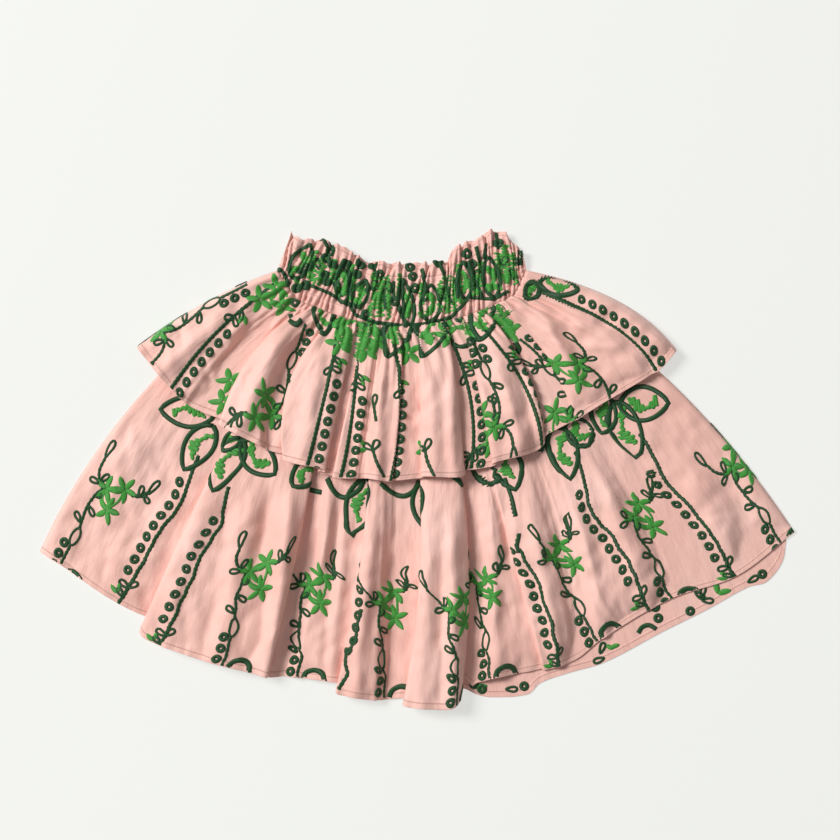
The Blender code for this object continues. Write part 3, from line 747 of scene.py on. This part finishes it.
def yoke_back_middle(v, w):
    """The shirred back, pressed flat: gathers are cosine waves under 0.3 mm high, and its heading frills."""
    plan = shared_out(YOKE_TOP, w) * (1 - v[:, None]) + back_seam(w) * v[:, None]
    plan[:, 1] += 0.3 + 1.5 * np.cos(2 * math.pi * FRILLS * w + 2.0) * np.clip(1 - v / HEADING_SHARE, 0, 1)
    ripple = 0.28 * np.cos(2 * math.pi * GATHERS * w) * np.sin(math.pi * v * (SHIRRING_ROWS - 1)) ** 2
    return np.column_stack([plan, BACK_LEVEL + ripple])


elastic_pitch = (1 - HEADING_SHARE) / (SHIRRING_ROWS - 1) * YOKE_CUT[1] * MM
# The yoke is the same cotton as the panels, but its colours are painted a little darker: painted shade for
# its dense gathers.
shirred_sateen_painted_shade = sateen("shirred_cotton_sateen_painted_shade", "#f7c1b4", "#efb5a8", "#fbcabd", 0.0006, elastic_pitch)


def yoke_piece(name, surface, rows, columns, node):
    """One side of the yoke as cloth: its piece, its grid's rows and columns, and its middle surface."""
    rows, columns = np.linspace(0, 1, rows), np.linspace(0, 1, columns)
    v, w = (grid.ravel() for grid in np.meshgrid(rows, columns, indexing="ij"))
    middle = surface(v, w).reshape(len(rows), len(columns), 3)
    places = cut_places(rows, columns[None, :], *YOKE_CUT)
    return add_cloth(name, middle, places, shirred_sateen_painted_shade, node), rows, columns, middle


yoke_front, yoke_rows, yoke_columns, yoke_shape = yoke_piece("front_yoke", yoke_middle, 64, 353, "yoke_front")
yoke_cloth = LaidCloth(yoke_rows, yoke_shape, np.tile(yoke_columns, (len(yoke_rows), 1)))
yoke_back = yoke_piece("back_yoke", yoke_back_middle, 20, 193, "yoke_back")[0]

# Embroidery
# Machine embroidery in two green polyester threads, sewn on the flat cloth before it was cut: upright
# stems with eyelets, loops and star flowers, and columns that hang from lotus flowers.


def thread_finish(name, colour, deep):
    """Glossy machine thread in close satin stitches, which lie across each line. They are as coarse as
    the cloth's threads are drawn, so that they show. A bump raises each stitch, and their colour is painted
    in fine stripes from the deep tone to the thread's own: painted shade between the stitches and painted
    sheen on them."""
    material, tree, shader = new_finish(name, Roughness=0.45, Sheen_Weight=0.12, Specular_IOR_Level=0.4)
    line = add_node(tree, "ShaderNodeUVMap", uv_map="cloth").outputs[0]
    bands = {"Vector": line, "Scale": THREAD_BANDS, "Distortion": 1.5, "Detail": 1.0}
    wave = add_node(tree, "ShaderNodeTexWave", bands, wave_type="BANDS", bands_direction="X")
    stitch = wave.outputs["Fac"]
    # The stripes' colour is painted shade and sheen: the deep tone is painted shade between the stitches.
    tint = add_node(tree, "ShaderNodeValToRGB", {"Fac": stitch})
    for stop, tone in zip(tint.color_ramp.elements, (deep, colour)):
        stop.color = linear(tone)
    tree.links.new(tint.outputs["Color"], shader.inputs["Base Color"])
    raised = add_node(tree, "ShaderNodeBump", {"Height": stitch, "Strength": 0.6, "Distance": 0.0003})
    tree.links.new(raised.outputs[0], shader.inputs["Normal"])
    return material


# The second colour of each thread is its painted shade between stitches, not a second thread colour.
dark_thread = thread_finish("dark_green_thread", "#195a29", "#0a3114")
light_thread = thread_finish("light_green_thread", "#50ad45", "#358c30")
# How far each kind of stitch stands up from the cloth, and the width of a column's line
CHAIN_HEIGHT, LINE_HEIGHT, SATIN_HEIGHT, PADDED_HEIGHT, EYELET_HEIGHT = 0.75, 0.8, 0.9, 1.2, 1.3
COLUMN_LINE = 4.3


def raised_line(path, width, height, closed=False, sides=8, pitch=None):
    """A raised line of thread: half an ellipse, flattened underneath, is carried along a path in plan."""
    path = np.asarray(path, float)
    if pitch:
        ring = np.concatenate([path, path[:1]]) if closed else path
        at = np.linspace(0, chords(ring)[-1], int(chords(ring)[-1] / pitch) + 2)
        width = np.interp(at, chords(ring), np.resize(width, len(ring)))
        path, width = (through(ring, at)[:-1], width[:-1]) if closed else (through(ring, at), width)
    ahead = np.roll(path, -1, 0) - np.roll(path, 1, 0) if closed else np.gradient(path, axis=0)
    ahead /= np.maximum(np.linalg.norm(ahead, axis=1), 1e-9)[:, None]
    aside = np.stack([ahead[:, 1], -ahead[:, 0]], -1)
    turn = 2 * math.pi * (np.arange(sides) + 0.5) / sides
    width = np.broadcast_to(np.asarray(width, float), len(path))[:, None]
    out = np.cos(turn) * width / 2
    up = np.maximum(np.sin(turn), -0.3) * height * np.minimum(1, width / width.max() * 1.5)
    flat = path[:, None] + aside[:, None] * out[..., None]
    points = np.dstack([flat, up]).reshape(-1, 3)
    ring = np.arange(len(path) * sides).reshape(len(path), sides)
    here, there = (ring, np.roll(ring, -1, 0)) if closed else (ring[:-1], ring[1:])
    quads = np.stack([here, there, np.roll(there, -1, 1), np.roll(here, -1, 1)], -1).reshape(-1, 4)
    if not closed:
        cap = np.array([(k, k + 1, sides - 2 - k, sides - 1 - k) for k in range(sides // 2 - 1)])
        quads = np.concatenate([quads, cap, (cap + ring[-1, 0])[:, ::-1]])
    run = chords(np.concatenate([path, path[:1]]))[:-1]
    uv = np.stack(np.broadcast_arrays(run[:, None], turn[None, :]), -1).reshape(-1, 2) * MM
    return points, quads, uv


def smooth_path(points, pitch=2.0):
    """A path through a few points, at about an even pitch."""
    points = np.asarray(points, float)
    whole = chords(points)[-1]
    return through(points, np.linspace(0, whole, max(3, int(whole / pitch) + 1)))


def turned(path, degrees, x, y):
    """A path turned about the origin, and moved to a place."""
    c, s = math.cos(math.radians(degrees)), math.sin(math.radians(degrees))
    path = np.asarray(path, float)
    return np.stack([path[:, 0] * c - path[:, 1] * s + x, path[:, 0] * s + path[:, 1] * c + y], -1)


def stitched(points, width=3.3):
    """A chain-stitched line, whose width swells and narrows with each stitch."""
    path = smooth_path(points, 1.5)
    return raised_line(path, width * (1 + 0.18 * np.sin(np.arange(len(path)) * 1.9)), CHAIN_HEIGHT)


def circle(count):
    """Cosines and sines at even steps round a circle."""
    turn = np.arange(count) / count * 2 * math.pi
    return np.cos(turn), np.sin(turn)


def eyelet(x, y, **fine):
    """A round eyelet: a satin ring 4.3 mm broad round a small hole."""
    ring = np.stack(circle(14), -1) * 3.05 + (x, y)
    return raised_line(ring, 4.3, EYELET_HEIGHT, closed=True, **fine)


def loop(x, y, degrees, length=11.0, width=6.5, **fine):
    """A leaf drawn as a loop: an oval that starts and ends at one point and is fuller towards its tip."""
    c, s = circle(14)
    leaf = np.stack([length * (1 - c) / 2, width / 2 * s * (0.7 - 0.3 * c)], -1)
    return raised_line(turned(leaf, degrees, x, y), 2.9, SATIN_HEIGHT, closed=True, **fine)


def lens(x, y, degrees):
    """An open pointed oval in the stem, 19 mm long and 8.5 mm wide."""
    c, s = circle(16)
    oval = np.stack([-9.5 * c, 4.25 * s * np.abs(s) ** 0.2], -1)
    return raised_line(turned(oval, degrees, x, y), 2.7, LINE_HEIGHT, closed=True)


def petal(x, y, degrees, length=13.5, width=6.6, **fine):
    """A satin petal: it swells from its root and narrows to its tip."""
    t = np.linspace(0, 1, 7)
    path = turned(np.stack([1.0 + t * length, 0.5 * np.sin(math.pi * t)], -1), degrees, x, y)
    widths = width * np.array([0.45, 0.8, 1.0, 1.0, 0.9, 0.68, 0.25])
    return raised_line(path, widths, SATIN_HEIGHT, **fine)


def star_flower(x, y, degrees, **fine):
    """Five satin petals round a place."""
    return [petal(x, y, degrees + 72 * k, **fine) for k in range(5)]


def lotus_petal(x, y, degrees, length, width, line=5.2, **fine):
    """A pointed petal's broad satin outline: its half width follows a sine of a power of the length."""
    t = np.linspace(0, 1, 17)
    half = width / 2 * np.sin(math.pi * t**0.85) ** 0.72
    left = np.stack([t * length, half], -1)
    right = np.stack([t * length, -half], -1)[::-1]
    outline = turned(np.concatenate([left, right[1:]]), degrees, x, y)
    return raised_line(outline, line, PADDED_HEIGHT, **fine)


def moss(x, y, degrees, length, width, line=2.6, **fine):
    """Light thread worked to and fro as a band: an uneven sine wave, about one turn to every 4 mm."""
    turns = max(2, round(length / 4.0))
    t = np.linspace(0, 1, 8 * turns + 1)
    uneven = 0.72 + 0.28 * np.sin(23.0 * t + 0.7 * x + y)
    sway = (width - line) / 2 * uneven * np.sin(2 * math.pi * turns * t + 1.2 * np.sin(9.0 * t + x))
    path = turned(np.stack([t * length, sway], -1), degrees, x, y)
    return raised_line(path, line, SATIN_HEIGHT, **fine)


def lotus_filling(x, y, degrees, length, width, line=4.0, **fine):
    """Light thread in a petal: a zigzag of sine waves that sways from one side to the other."""
    t = np.linspace(0, 1, 90)
    zigzag = 0.09 * np.sin(42.0 * t) * (1.1 + np.sin(9.0 * t + x))
    sway = width * (0.14 * np.cos(1.6 * math.pi * t + 0.4) + zigzag)
    path = turned(np.stack([length * (0.16 + 0.60 * t), sway], -1), degrees, x, y)
    return raised_line(path, line, SATIN_HEIGHT, **fine)


# The two repeats. Across is to the right of the line, and up is from its foot at the hem.
VINE_FLOWERS = ((2, 98, 100), (19, 110, 80), (15, 82, 90))
VINE_TWIGS = (((2, 98), (10, 106), (19, 110)), ((2, 98), (4, 88), (15, 82)), ((19, 110), (20, 96), (15, 82)))


def vine(cut_off=0.0, lean=1.0):
    """A stem with eyelets at its foot, a lens, leaf loops and three star flowers between two sprigs.

    The hem cuts off so many mm of its foot. The left sprig leans out, stands up or, with None, is hidden."""
    dark = [eyelet(-8, 5.5 + 11.8 * k) for k in range(3)]
    dark += [stitched(((0, 0), (-1, 17), (-1, 31)))]
    dark += [stitched(((-1, 49), (-4, 60), (-6, 73), (-5, 86), (-1, 96)))]
    dark += [lens(-1, 40, 90), loop(-4, 55, 150), loop(-5, 73, -25), loop(-5, 85, 35, 9, 6)]
    dark += [stitched(((-1, 96), (-6, 98), (-10, 98))), loop(-8, 98, 190), loop(-8, 100, 70)]
    if lean is not None:
        tip = -9 - 10 * lean
        dark += [stitched(((-9, 99), (-9 - 7 * lean, 109), (tip, 123))), loop(tip, 122, 95, 18, 8)]
    dark += [stitched(((28, 110), (36, 115), (41, 124)), 4.4), loop(35, 114, 105), loop(39, 118, -20, 9, 6)]
    dark += [loop(41, 122, 80, 18, 7)]
    arch = smooth_path(((6, 0), (9, 7), (17, 10), (25, 7), (28, 0)))
    dark.append(raised_line(arch, 6.0, PADDED_HEIGHT))
    light = [raised_line(smooth_path(twig), 2.8, LINE_HEIGHT) for twig in VINE_TWIGS]
    for x, y, degrees in VINE_FLOWERS:
        light += star_flower(x, y, degrees)
    for points, _, _ in dark + light:
        points[:, 1] -= cut_off
    return {"dark": dark, "light": light}


def plain_column(line_top=176.0, first=27.0, pitch=12.8):
    """A straight line with nine eyelets on its left, and three leaf loops and a sprig at its foot."""
    dark = [stitched([(0, y) for y in np.linspace(-40, line_top, 5)], COLUMN_LINE)]
    dark += [eyelet(-9.5, first + pitch * k) for k in range(9)]
    dark += [loop(-1, 12, 50, 11, 7), loop(0, 12, 170, 11, 7), loop(-1, 2, 150, 9, 6)]
    light = [petal(-6, 2, 160, 10, 5), petal(-6, 3, 110, 9, 4.5)]
    return {"dark": dark, "light": light}


def column_line():
    """The line alone, where a fold hides its eyelets."""
    return {"dark": [stitched(((0, 0), (0, 40), (0, 88)), COLUMN_LINE)], "light": []}


def column_dots():
    """The eyelets alone, where a fold hides the line."""
    return {"dark": [eyelet(0, 40 + 13 * k) for k in range(8)], "light": []}


def merged(parts):
    """Several parts as one: their points, quads and UV places."""
    starts = np.cumsum([0] + [len(part[0]) for part in parts[:-1]])
    quads = np.concatenate([part[1] + start for part, start in zip(parts, starts)])
    return np.concatenate([part[0] for part in parts]), quads, np.concatenate([part[2] for part in parts])


class StitchLine:
    """A line on the cloth that a repeat is sewn along, from its foot towards its head.

    Where the foot is at the seam and the head at the hem, the pattern lies upside down. Distances up the
    pattern are walked along the line, and distances across are walked along the cloth's rows."""

    def __init__(self, cloth, foot, head, foot_at):
        self.cloth = cloth
        (v0, share0), (v1, share1) = cloth.find(*foot), cloth.find(*head)
        self.v = np.linspace(0, 1, 120)
        self.share = np.clip(share0 + (share1 - share0) * (self.v - v0) / (v1 - v0), 0, 1)
        self.total = np.interp(self.v, cloth.rows, cloth.total)
        down = chords(cloth.lay(self.v, self.share * self.total, 0 * self.v))
        self.way = 1.0 if v1 > v0 else -1.0
        self.up = (down - np.interp(v0, self.v, down)) * self.way + foot_at

    def sew(self, parts, squeeze, mirror):
        """The parts' points laid on the cloth, with their quads and UV places, and no part past its edges."""
        points, quads, uv = merged(parts)
        order = slice(None, None, -1) if self.way < 0 else slice(None)
        v = np.interp(points[:, 1], self.up[order], self.v[order])
        middle = np.interp(v, self.v, self.share * self.total)
        room = np.interp(v, self.v, np.clip(self.total / self.total.max(), squeeze, 1))
        across = -points[:, 0] * self.way * (-1 if mirror else 1)
        laid = self.cloth.lay(v, middle + across * room, points[:, 2])
        keep = (points[:, 1] <= self.up.max()) & (points[:, 1] >= self.up.min())
        quads = quads[keep[quads].all(1)]
        return laid, quads[:, ::-1] if mirror else quads, uv


def stitch_pieces(panel, sewn):
    """All the stitches of each thread on one panel, as one mesh without loose points."""
    pieces = []
    for tone, material in (("dark", dark_thread), ("light", light_thread)):
        points, quads, uv = merged(sewn[tone])
        used, packed = np.unique(quads, return_inverse=True)
        name = f"{panel}_{tone}_stitches"
        pieces.append(add_mesh(name, points[used], packed.reshape(quads.shape), uv[used], material))
    return pieces


def spread(cloth, parts, x, y):
    """Parts drawn in plan, laid on the cloth round a place along its rows and columns there."""
    points, quads, uv = merged(parts)
    v0, share = cloth.find(x, y)
    near = np.clip([v0, v0, v0 - 0.03, v0 + 0.03], 0, 1), np.array([-0.02, 0.02, 0, 0]) + share
    corners = cloth.lay(near[0], near[1] * np.interp(near[0], cloth.rows, cloth.total), np.zeros(4))[:, :2]
    across, down = corners[1] - corners[0], corners[3] - corners[2]
    length = np.linalg.norm(down) / (near[0][3] - near[0][2])
    axes = np.stack([across / np.linalg.norm(across), down / np.linalg.norm(down)], -1)
    aside, along_line = np.linalg.solve(axes, (points[:, :2] - (x, y)).T)
    v = v0 + along_line / length
    total = np.interp(v, cloth.rows, cloth.total)
    walked = share * total + aside
    keep = (v >= 0) & (v <= 1) & (walked >= 0) & (walked <= total)
    return cloth.lay(np.clip(v, 0, 1), walked, points[:, 2]), quads[keep[quads].all(1)], uv


def embroider(panel, cloth, repeats, placed, squeeze):
    """All of one tier's stitches.

    A repeat is its parts and its stitch line, and a placed one its thread, its parts in plan and a place.
    Where gathers draw the cloth together, repeats grow narrower with it, but not below the squeeze."""
    sewn = {"dark": [], "light": []}
    for parts, foot, head, foot_at, mirror in repeats:
        line = StitchLine(cloth, foot, head, foot_at)
        for tone in sewn:
            if parts[tone]:
                sewn[tone].append(line.sew(parts[tone], squeeze, mirror))
    for tone, parts, place in placed:
        sewn[tone].append(spread(cloth, parts, *place))
    return stitch_pieces(panel, sewn)


def rows_of(make, table, foot_at=0.0, mirror=False):
    """A repeat for each row: its foot and head places, and what else its own function is given."""
    return [(make(*own), (x0, y0), (x1, y1), foot_at, mirror) for x0, y0, x1, y1, *own in table]


def between(table):
    """Each row's first end, direction in degrees and length, and what else it holds."""
    return [
        (x0, y0, math.degrees(math.atan2(y1 - y0, x1 - x0)), math.hypot(x1 - x0, y1 - y0), *rest)
        for x0, y0, x1, y1, *rest in table
    ]


def petals_at(table, **fine):
    """Lotus petals with their filling: a row is the root, tip and width, and a place to lay it from if not
    its middle."""
    placed = []
    for x0, y0, x1, y1, width, *place in table:
        shape = between([(x0, y0, x1, y1, width)])[0]
        place = place or ((x0 + x1) / 2, (y0 + y1) / 2)
        placed.append(("dark", [lotus_petal(*shape, **fine)], place))
        placed.append(("light", [lotus_filling(*shape, **fine)], place))
    return placed


def line_at(path, width):
    """A plain line of dark thread through a few places."""
    return ("dark", [raised_line(smooth_path(path), width, PADDED_HEIGHT)], path[len(path) // 2])


# Foot and head places of each stem and column that shows, and what is special about it: what the hem cuts
# off and how the sprig leans, or the line's top, the lowest eyelet and their pitch. They stand on the hem.
LOWER_VINES = (
    (-356, -96, -311, -17, 8),
    (-194, -190, -168, -100, 4),
    (-119, -208, -112, -115),
    (-31, -227, -35, -130),
    (40, -233, 30, -128),
    (74, -218, 58, -115),
    (181, -174, 131, -80, 0, -0.8),
    (252, -124, 206, -38, 11, None),
    (368, -78, 311, 2, 7),
)
LOWER_COLUMNS = (
    (-296, -127, -220, 9, 163),
    (-258, -173, -185, -8, 176, 27, 14.0),
    (227, -136, 160, 7, 176, 34),
    (317, -108, 224, 30, 176, 27, 13.4),
    (142, -198, 95, -15, 130),
)
# The lotus petals that the columns hang from, as far as the upper tier and the folds leave them open
LOWER_PETALS = (
    (-205, 45, -235, 2, 28), (-203, 57, -257, 62, 30), (-178, 36, -206, 26, 20), (-175, 31, -208, -19, 29),
    (-175, 29, -142, -3, 29), (-100, 10, -125, -14, 24), (-53, -8, -64, -66, 28),
    (6, -10, 10, -62, 28, -4, -34), (84, 24, 99, -18, 26), (139, 44, 152, -9, 29), (150, 52, 171, 27, 25),
    (187, 74, 184, 34, 25), (196, 66, 220, 10, 30), (200, 66, 248, 67, 34),
)
LOWER_ARCS = (
    ((-92, -6), (-83, -22), (-73, -26), (-60, -18), (-55, -6)),
    ((-37, -14), (-26, -23), (-13, -27), (-3, -22), (3, -12)),
    ((49, 2), (61, -9), (72, -12), (84, -6)),
    ((33, -6), (40, -10), (45, -15)),
    ((127, 37), (126, 26), (123, 18)),
    ((-112, -17), (-103, -20), (-95, -22)),
)
# What shows of one column's line, on either side of the fold that crosses it
COLUMN_STARTS = (((87, -8), (93, -30), (98, -46)), ((100, -63), (100, -72), (101, -82)))
lower_repeats = rows_of(vine, LOWER_VINES) + rows_of(plain_column, LOWER_COLUMNS)
lower_repeats += rows_of(column_line, ((-79, -217, -62, -160),))
lower_repeats += rows_of(column_dots, ((-75, -216, -58, -80),))
lower_placed = petals_at(LOWER_PETALS) + [line_at(path, 5.6) for path in LOWER_ARCS]
lower_placed += [line_at(path, COLUMN_LINE) for path in COLUMN_STARTS]
lower_stitches = embroider("lower_tier", lower_cloth, lower_repeats, lower_placed, 0.95)

# Stitches that cross steep gathers need a finer mesh.
FINE = {"sides": 20, "pitch": 0.8}
# The upper tier's hang from the waist, upside down, but for one stem and one column on the right.
UPPER_VINES = ((-170, 187, -255, 138), (-112, 145, -143, 52), (52, 134, 76, 42), (102, 130, 144, 74))
UPPER_COLUMNS = (
    (-175, 160, -246, 78), (-83, 115, -108, 8), (-61, 98, -75, 0), (-19, 91, -26, -5), (43, 106, 52, 5),
    (86, 118, 123, 30),
)
UPPER_FLOWERS = (
    (-156, 170), (-141, 184), (-134, 163), (-75, 145), (-76, 127), (-46, 145), (-39, 127), (-52, 120),
    (-10, 118), (31, 136), (45, 140), (90, 136), (82, 153), (-186, 89), (-194, 68),
)
UPPER_EYELETS = ((-122, 167), (-50, 154), (41, 154), (53, 129), (54, 117), (57, 106))
UPPER_PETALS = (
    (-95, 174, -94, 133, 20), (-23, 160, -23, 114, 27), (14, 160, 14, 117, 29), (63, 170, 64, 130, 25),
    (122, 187, 160, 179, 20), (117, 190, 110, 173, 14),
)
# Bands of light thread: both ends and the width
UPPER_MOSS = (
    (-76, 152, -74, 122, 15), (-52, 150, -50, 110, 17), (31, 152, 32, 130, 9), (45, 148, 46, 124, 9),
    (82, 152, 90, 130, 13), (-26, 144, -24, 128, 7),
)


def vine_end():
    """What shows of a stem that a fold hides: a bow of two loops, the line below it and a bit of a sprig."""
    dark = [loop(0, 10, 60, 12, 7.5), loop(0, 10, 150, 12, 7.5), stitched(((0, 10), (3, -2), (10, -16)), 3.6)]
    return {"dark": dark, "light": [petal(-7, 12, 200, 9, 6), petal(-8, 14, 130, 8, 5)]}


upper_repeats = rows_of(vine, UPPER_VINES) + rows_of(plain_column, UPPER_COLUMNS)
upper_repeats += rows_of(vine_end, ((-46, 10, -46, 26), (6, 10, 6, 26)))
upper_repeats += rows_of(vine, ((192, 66, 162, 105),), 50.0, True)
upper_repeats += rows_of(plain_column, ((237, 98, 137, 172),), 22.0, True)
upper_placed = petals_at(UPPER_PETALS, **FINE)
upper_placed += [("light", [moss(*row, **FINE)], (row[0], row[1])) for row in between(UPPER_MOSS)]
upper_placed += [("light", star_flower(x, y, 100, **FINE), (x, y)) for x, y in UPPER_FLOWERS]
upper_placed += [("dark", [eyelet(x, y)], (x, y)) for x, y in UPPER_EYELETS]
for x, y in ((-46, 65), (74, 66)):
    upper_placed.append(("dark", [loop(x, y, 80), stitched(((x, y), (x + 3, y - 16)))], (x, y)))
upper_stitches = embroider("upper_tier", upper_cloth, upper_repeats, upper_placed, 0.9)

# The yoke was cut from the same cloth, so its repeats are squeezed between the gathers.
YOKE_PETALS = (
    (-125, 191, -107, 223, 20), (-75, 166, -73, 208, 15), (-62, 162, -52, 189, 15), (-8, 144, -16, 190, 15),
    (12, 148, 13, 184, 20), (48, 170, 45, 207, 14), (76, 172, 70, 212, 17), (-135, 170, -138, 200, 14),
)
YOKE_MOSS = (
    (-94, 212, -98, 184, 13), (-110, 200, -102, 186, 8), (-36, 192, -38, 152, 15), (-47, 166, -49, 148, 9),
    (28, 194, 30, 156, 10), (35, 192, 37, 158, 8), (56, 194, 60, 174, 11), (86, 224, 89, 186, 12),
    (-9, 178, -9, 152, 6), (96, 200, 98, 184, 8), (-121, 182, -108, 182, 7), (-104, 218, -106, 188, 12),
    (-84, 210, -86, 186, 9), (-80, 200, -81, 172, 8), (-66, 204, -64, 178, 9), (-58, 186, -58, 160, 8),
    (-44, 198, -43, 164, 9), (-30, 194, -29, 150, 8), (-18, 196, -20, 170, 6), (4, 186, 3, 152, 8),
    (22, 188, 22, 156, 9), (40, 206, 42, 176, 9), (52, 190, 54, 172, 8), (62, 208, 61, 180, 8),
    (80, 216, 82, 188, 10), (94, 216, 96, 190, 9), (66, 184, 84, 182, 9), (-74, 178, -60, 166, 8),
    (-128, 196, -118, 186, 8), (34, 172, 48, 166, 8),
)
YOKE_LOOPS = (
    (-116, 196, 60), (-98, 200, 110), (-84, 184, 70), (-70, 196, 100), (-56, 176, 60), (-28, 176, 100),
    (6, 168, 70), (26, 170, 110), (58, 188, 80), (84, 202, 70), (96, 190, 110), (-44, 178, 80),
)
YOKE_EYELETS = (
    (-87, 218), (-92, 211), (-85, 205), (-93, 194), (-91, 188), (-112, 184), (-121, 181), (-57, 205),
    (-61, 195), (-45, 205), (-38, 194), (-8, 203), (-5, 193), (-3, 181), (20, 206), (49, 215), (54, 205),
    (80, 226), (100, 208), (-52, 155), (-23, 168),
)
YOKE_LINES = (
    ((-88, 230), (-84, 220)), ((-68, 208), (-70, 170)), ((-46, 208), (-42, 196)), ((-57, 215), (-50, 212)),
    ((-24, 188), (-24, 168)), ((-16, 188), (-13, 146)), ((20, 207), (26, 195), (33, 166)),
    ((50, 208), (64, 172)), ((78, 238), (80, 220)), ((100, 220), (104, 212)),
    ((-121, 180), (-108, 184), (-88, 176), (-70, 164)),
    ((-70, 168), (-62, 154), (-42, 147), (-16, 144), (14, 146), (34, 153), (50, 170)),
    ((50, 172), (76, 170), (90, 178)), ((-98, 232), (-90, 222)), ((-120, 196), (-112, 204)),
    ((-80, 190), (-76, 172)), ((-34, 180), (-32, 160)), ((4, 200), (8, 180)), ((58, 222), (62, 204)),
    ((68, 226), (66, 210)), ((38, 190), (40, 170)),
)


def on_yoke(parts):
    """Parts drawn in plan, laid over the places that they are drawn at, with no part past the edges.

    The place across (w) and down (v) the yoke is found by going to and fro between the two a few times."""
    points, quads, uv = merged(parts)
    top, bottom = shared_out(YOKE_TOP, yoke_columns), shared_out(upper_panel.start, yoke_columns)
    w = np.full(len(points), 0.5)
    for _ in range(14):
        tops = [np.interp(w, yoke_columns, top[:, k]) for k in (0, 1)]
        bottoms = [np.interp(w, yoke_columns, bottom[:, k]) for k in (0, 1)]
        down = (points[:, 1] - tops[1]) / (bottoms[1] - tops[1])
        v = np.clip(down, 0, 1)
        here = tops[0] + (bottoms[0] - tops[0]) * v
        w = np.clip(w + (points[:, 0] - here) / (top[-1, 0] - top[0, 0]), 0, 1)
    keep = (down > -0.02) & (down < 1.03) & (w > 0) & (w < 1)
    return yoke_cloth.lay(v, w, points[:, 2]), quads[keep[quads].all(1)], uv


yoke_dark = [lotus_petal(*row, line=3.9, **FINE) for row in between(YOKE_PETALS)]
yoke_dark += [eyelet(x, y, **FINE) for x, y in YOKE_EYELETS]
for path in YOKE_LINES:
    for ends in zip(path, path[1:]):
        yoke_dark.append(raised_line(smooth_path(ends), 3.6, PADDED_HEIGHT, **FINE))
yoke_dark += [loop(*row, **FINE) for row in YOKE_LOOPS]
yoke_light = [lotus_filling(*row, **FINE) for row in between(YOKE_PETALS)]
yoke_light += [moss(*row, line=2.3, **FINE) for row in between(YOKE_MOSS)]
yoke_stitches = stitch_pieces(
    "yoke", {"dark": [on_yoke(yoke_dark)], "light": [on_yoke(yoke_light)]}
)

# On the strip of the back panel's inside that shows past the front hem, the stitches' reverse side is seen.
# That strip is flat, so they are drawn in plan at its height.
BACK_LOOPS = (
    (227, -130, -70), (277, -122, -35), (283, -127, 75), (284, -130, -5), (182, -183, 70), (186, -188, 200),
    (88, -219, 0), (330, -112, 30),
)
BACK_EYELETS = ((237, -137), (240, -148), (272, -141), (56, -214), (64, -219), (106, -216), (344, -104))
BACK_PETALS = (
    (299, -124, 15), (300, -124, 100), (192, -178, 20, 9, 5), (196, -179, 150, 8, 5), (70, -216, 180),
)
BACK_ARCH = ((220, -163), (224, -157), (231, -155), (238, -159))
back_dark = [loop(*row) for row in BACK_LOOPS] + [eyelet(x, y) for x, y in BACK_EYELETS]
back_dark.append(raised_line(smooth_path(BACK_ARCH), 5.0, SATIN_HEIGHT))
back_light = [petal(*row) for row in BACK_PETALS]
for points, _, _ in back_dark + back_light:
    points[:, 2] += BACK_LEVEL + CLOTH / 2 + 0.05
back_stitches = stitch_pieces("lower_back", {"dark": back_dark, "light": back_light})

# Floor and light
# A light table: a matt white opal board, lit a little from inside so that shadows on it stay pale. Soft
# light comes from a large lamp at the upper left, low enough to show the folds, and faintly from all round.
FLOOR_HALF, GLOW, SKY = 3.0, 0.605, 0.25
LAMP_PLACE, LAMP_SIZE, LAMP_POWER = (-5.0, 2.4, 5.0), 2.6, 540.0
board = new_finish(
    "matt_opal_board", Roughness=0.95, Base_Color=linear("#9a9b98"), Emission_Color=linear("#fdfefa"),
    Emission_Strength=GLOW,
)[0]
floor_mesh = bpy.data.meshes.new("floor")
corners = [(x * FLOOR_HALF, y * FLOOR_HALF, 0) for x, y in ((-1, -1), (1, -1), (1, 1), (-1, 1))]
floor_mesh.from_pydata(corners, [], [(0, 1, 2, 3)])
floor_mesh.materials.append(board)
floor = show("floor", floor_mesh)

world = bpy.data.worlds.new("studio")
bpy.context.scene.world = world
world.use_nodes = True
world.node_tree.nodes["Background"].inputs["Color"].default_value = linear("#ffffff")
world.node_tree.nodes["Background"].inputs["Strength"].default_value = SKY
lamp = show("main_light", bpy.data.lights.new("main_light", "AREA"))
lamp.data.size = LAMP_SIZE
lamp.data.energy = LAMP_POWER
lamp.location = LAMP_PLACE
x, y, z = LAMP_PLACE
lamp.rotation_euler = (math.atan2(math.hypot(x, y), z), 0, math.atan2(-y, -x) - math.pi / 2)
bpy.context.scene.view_settings.view_transform = "Standard"
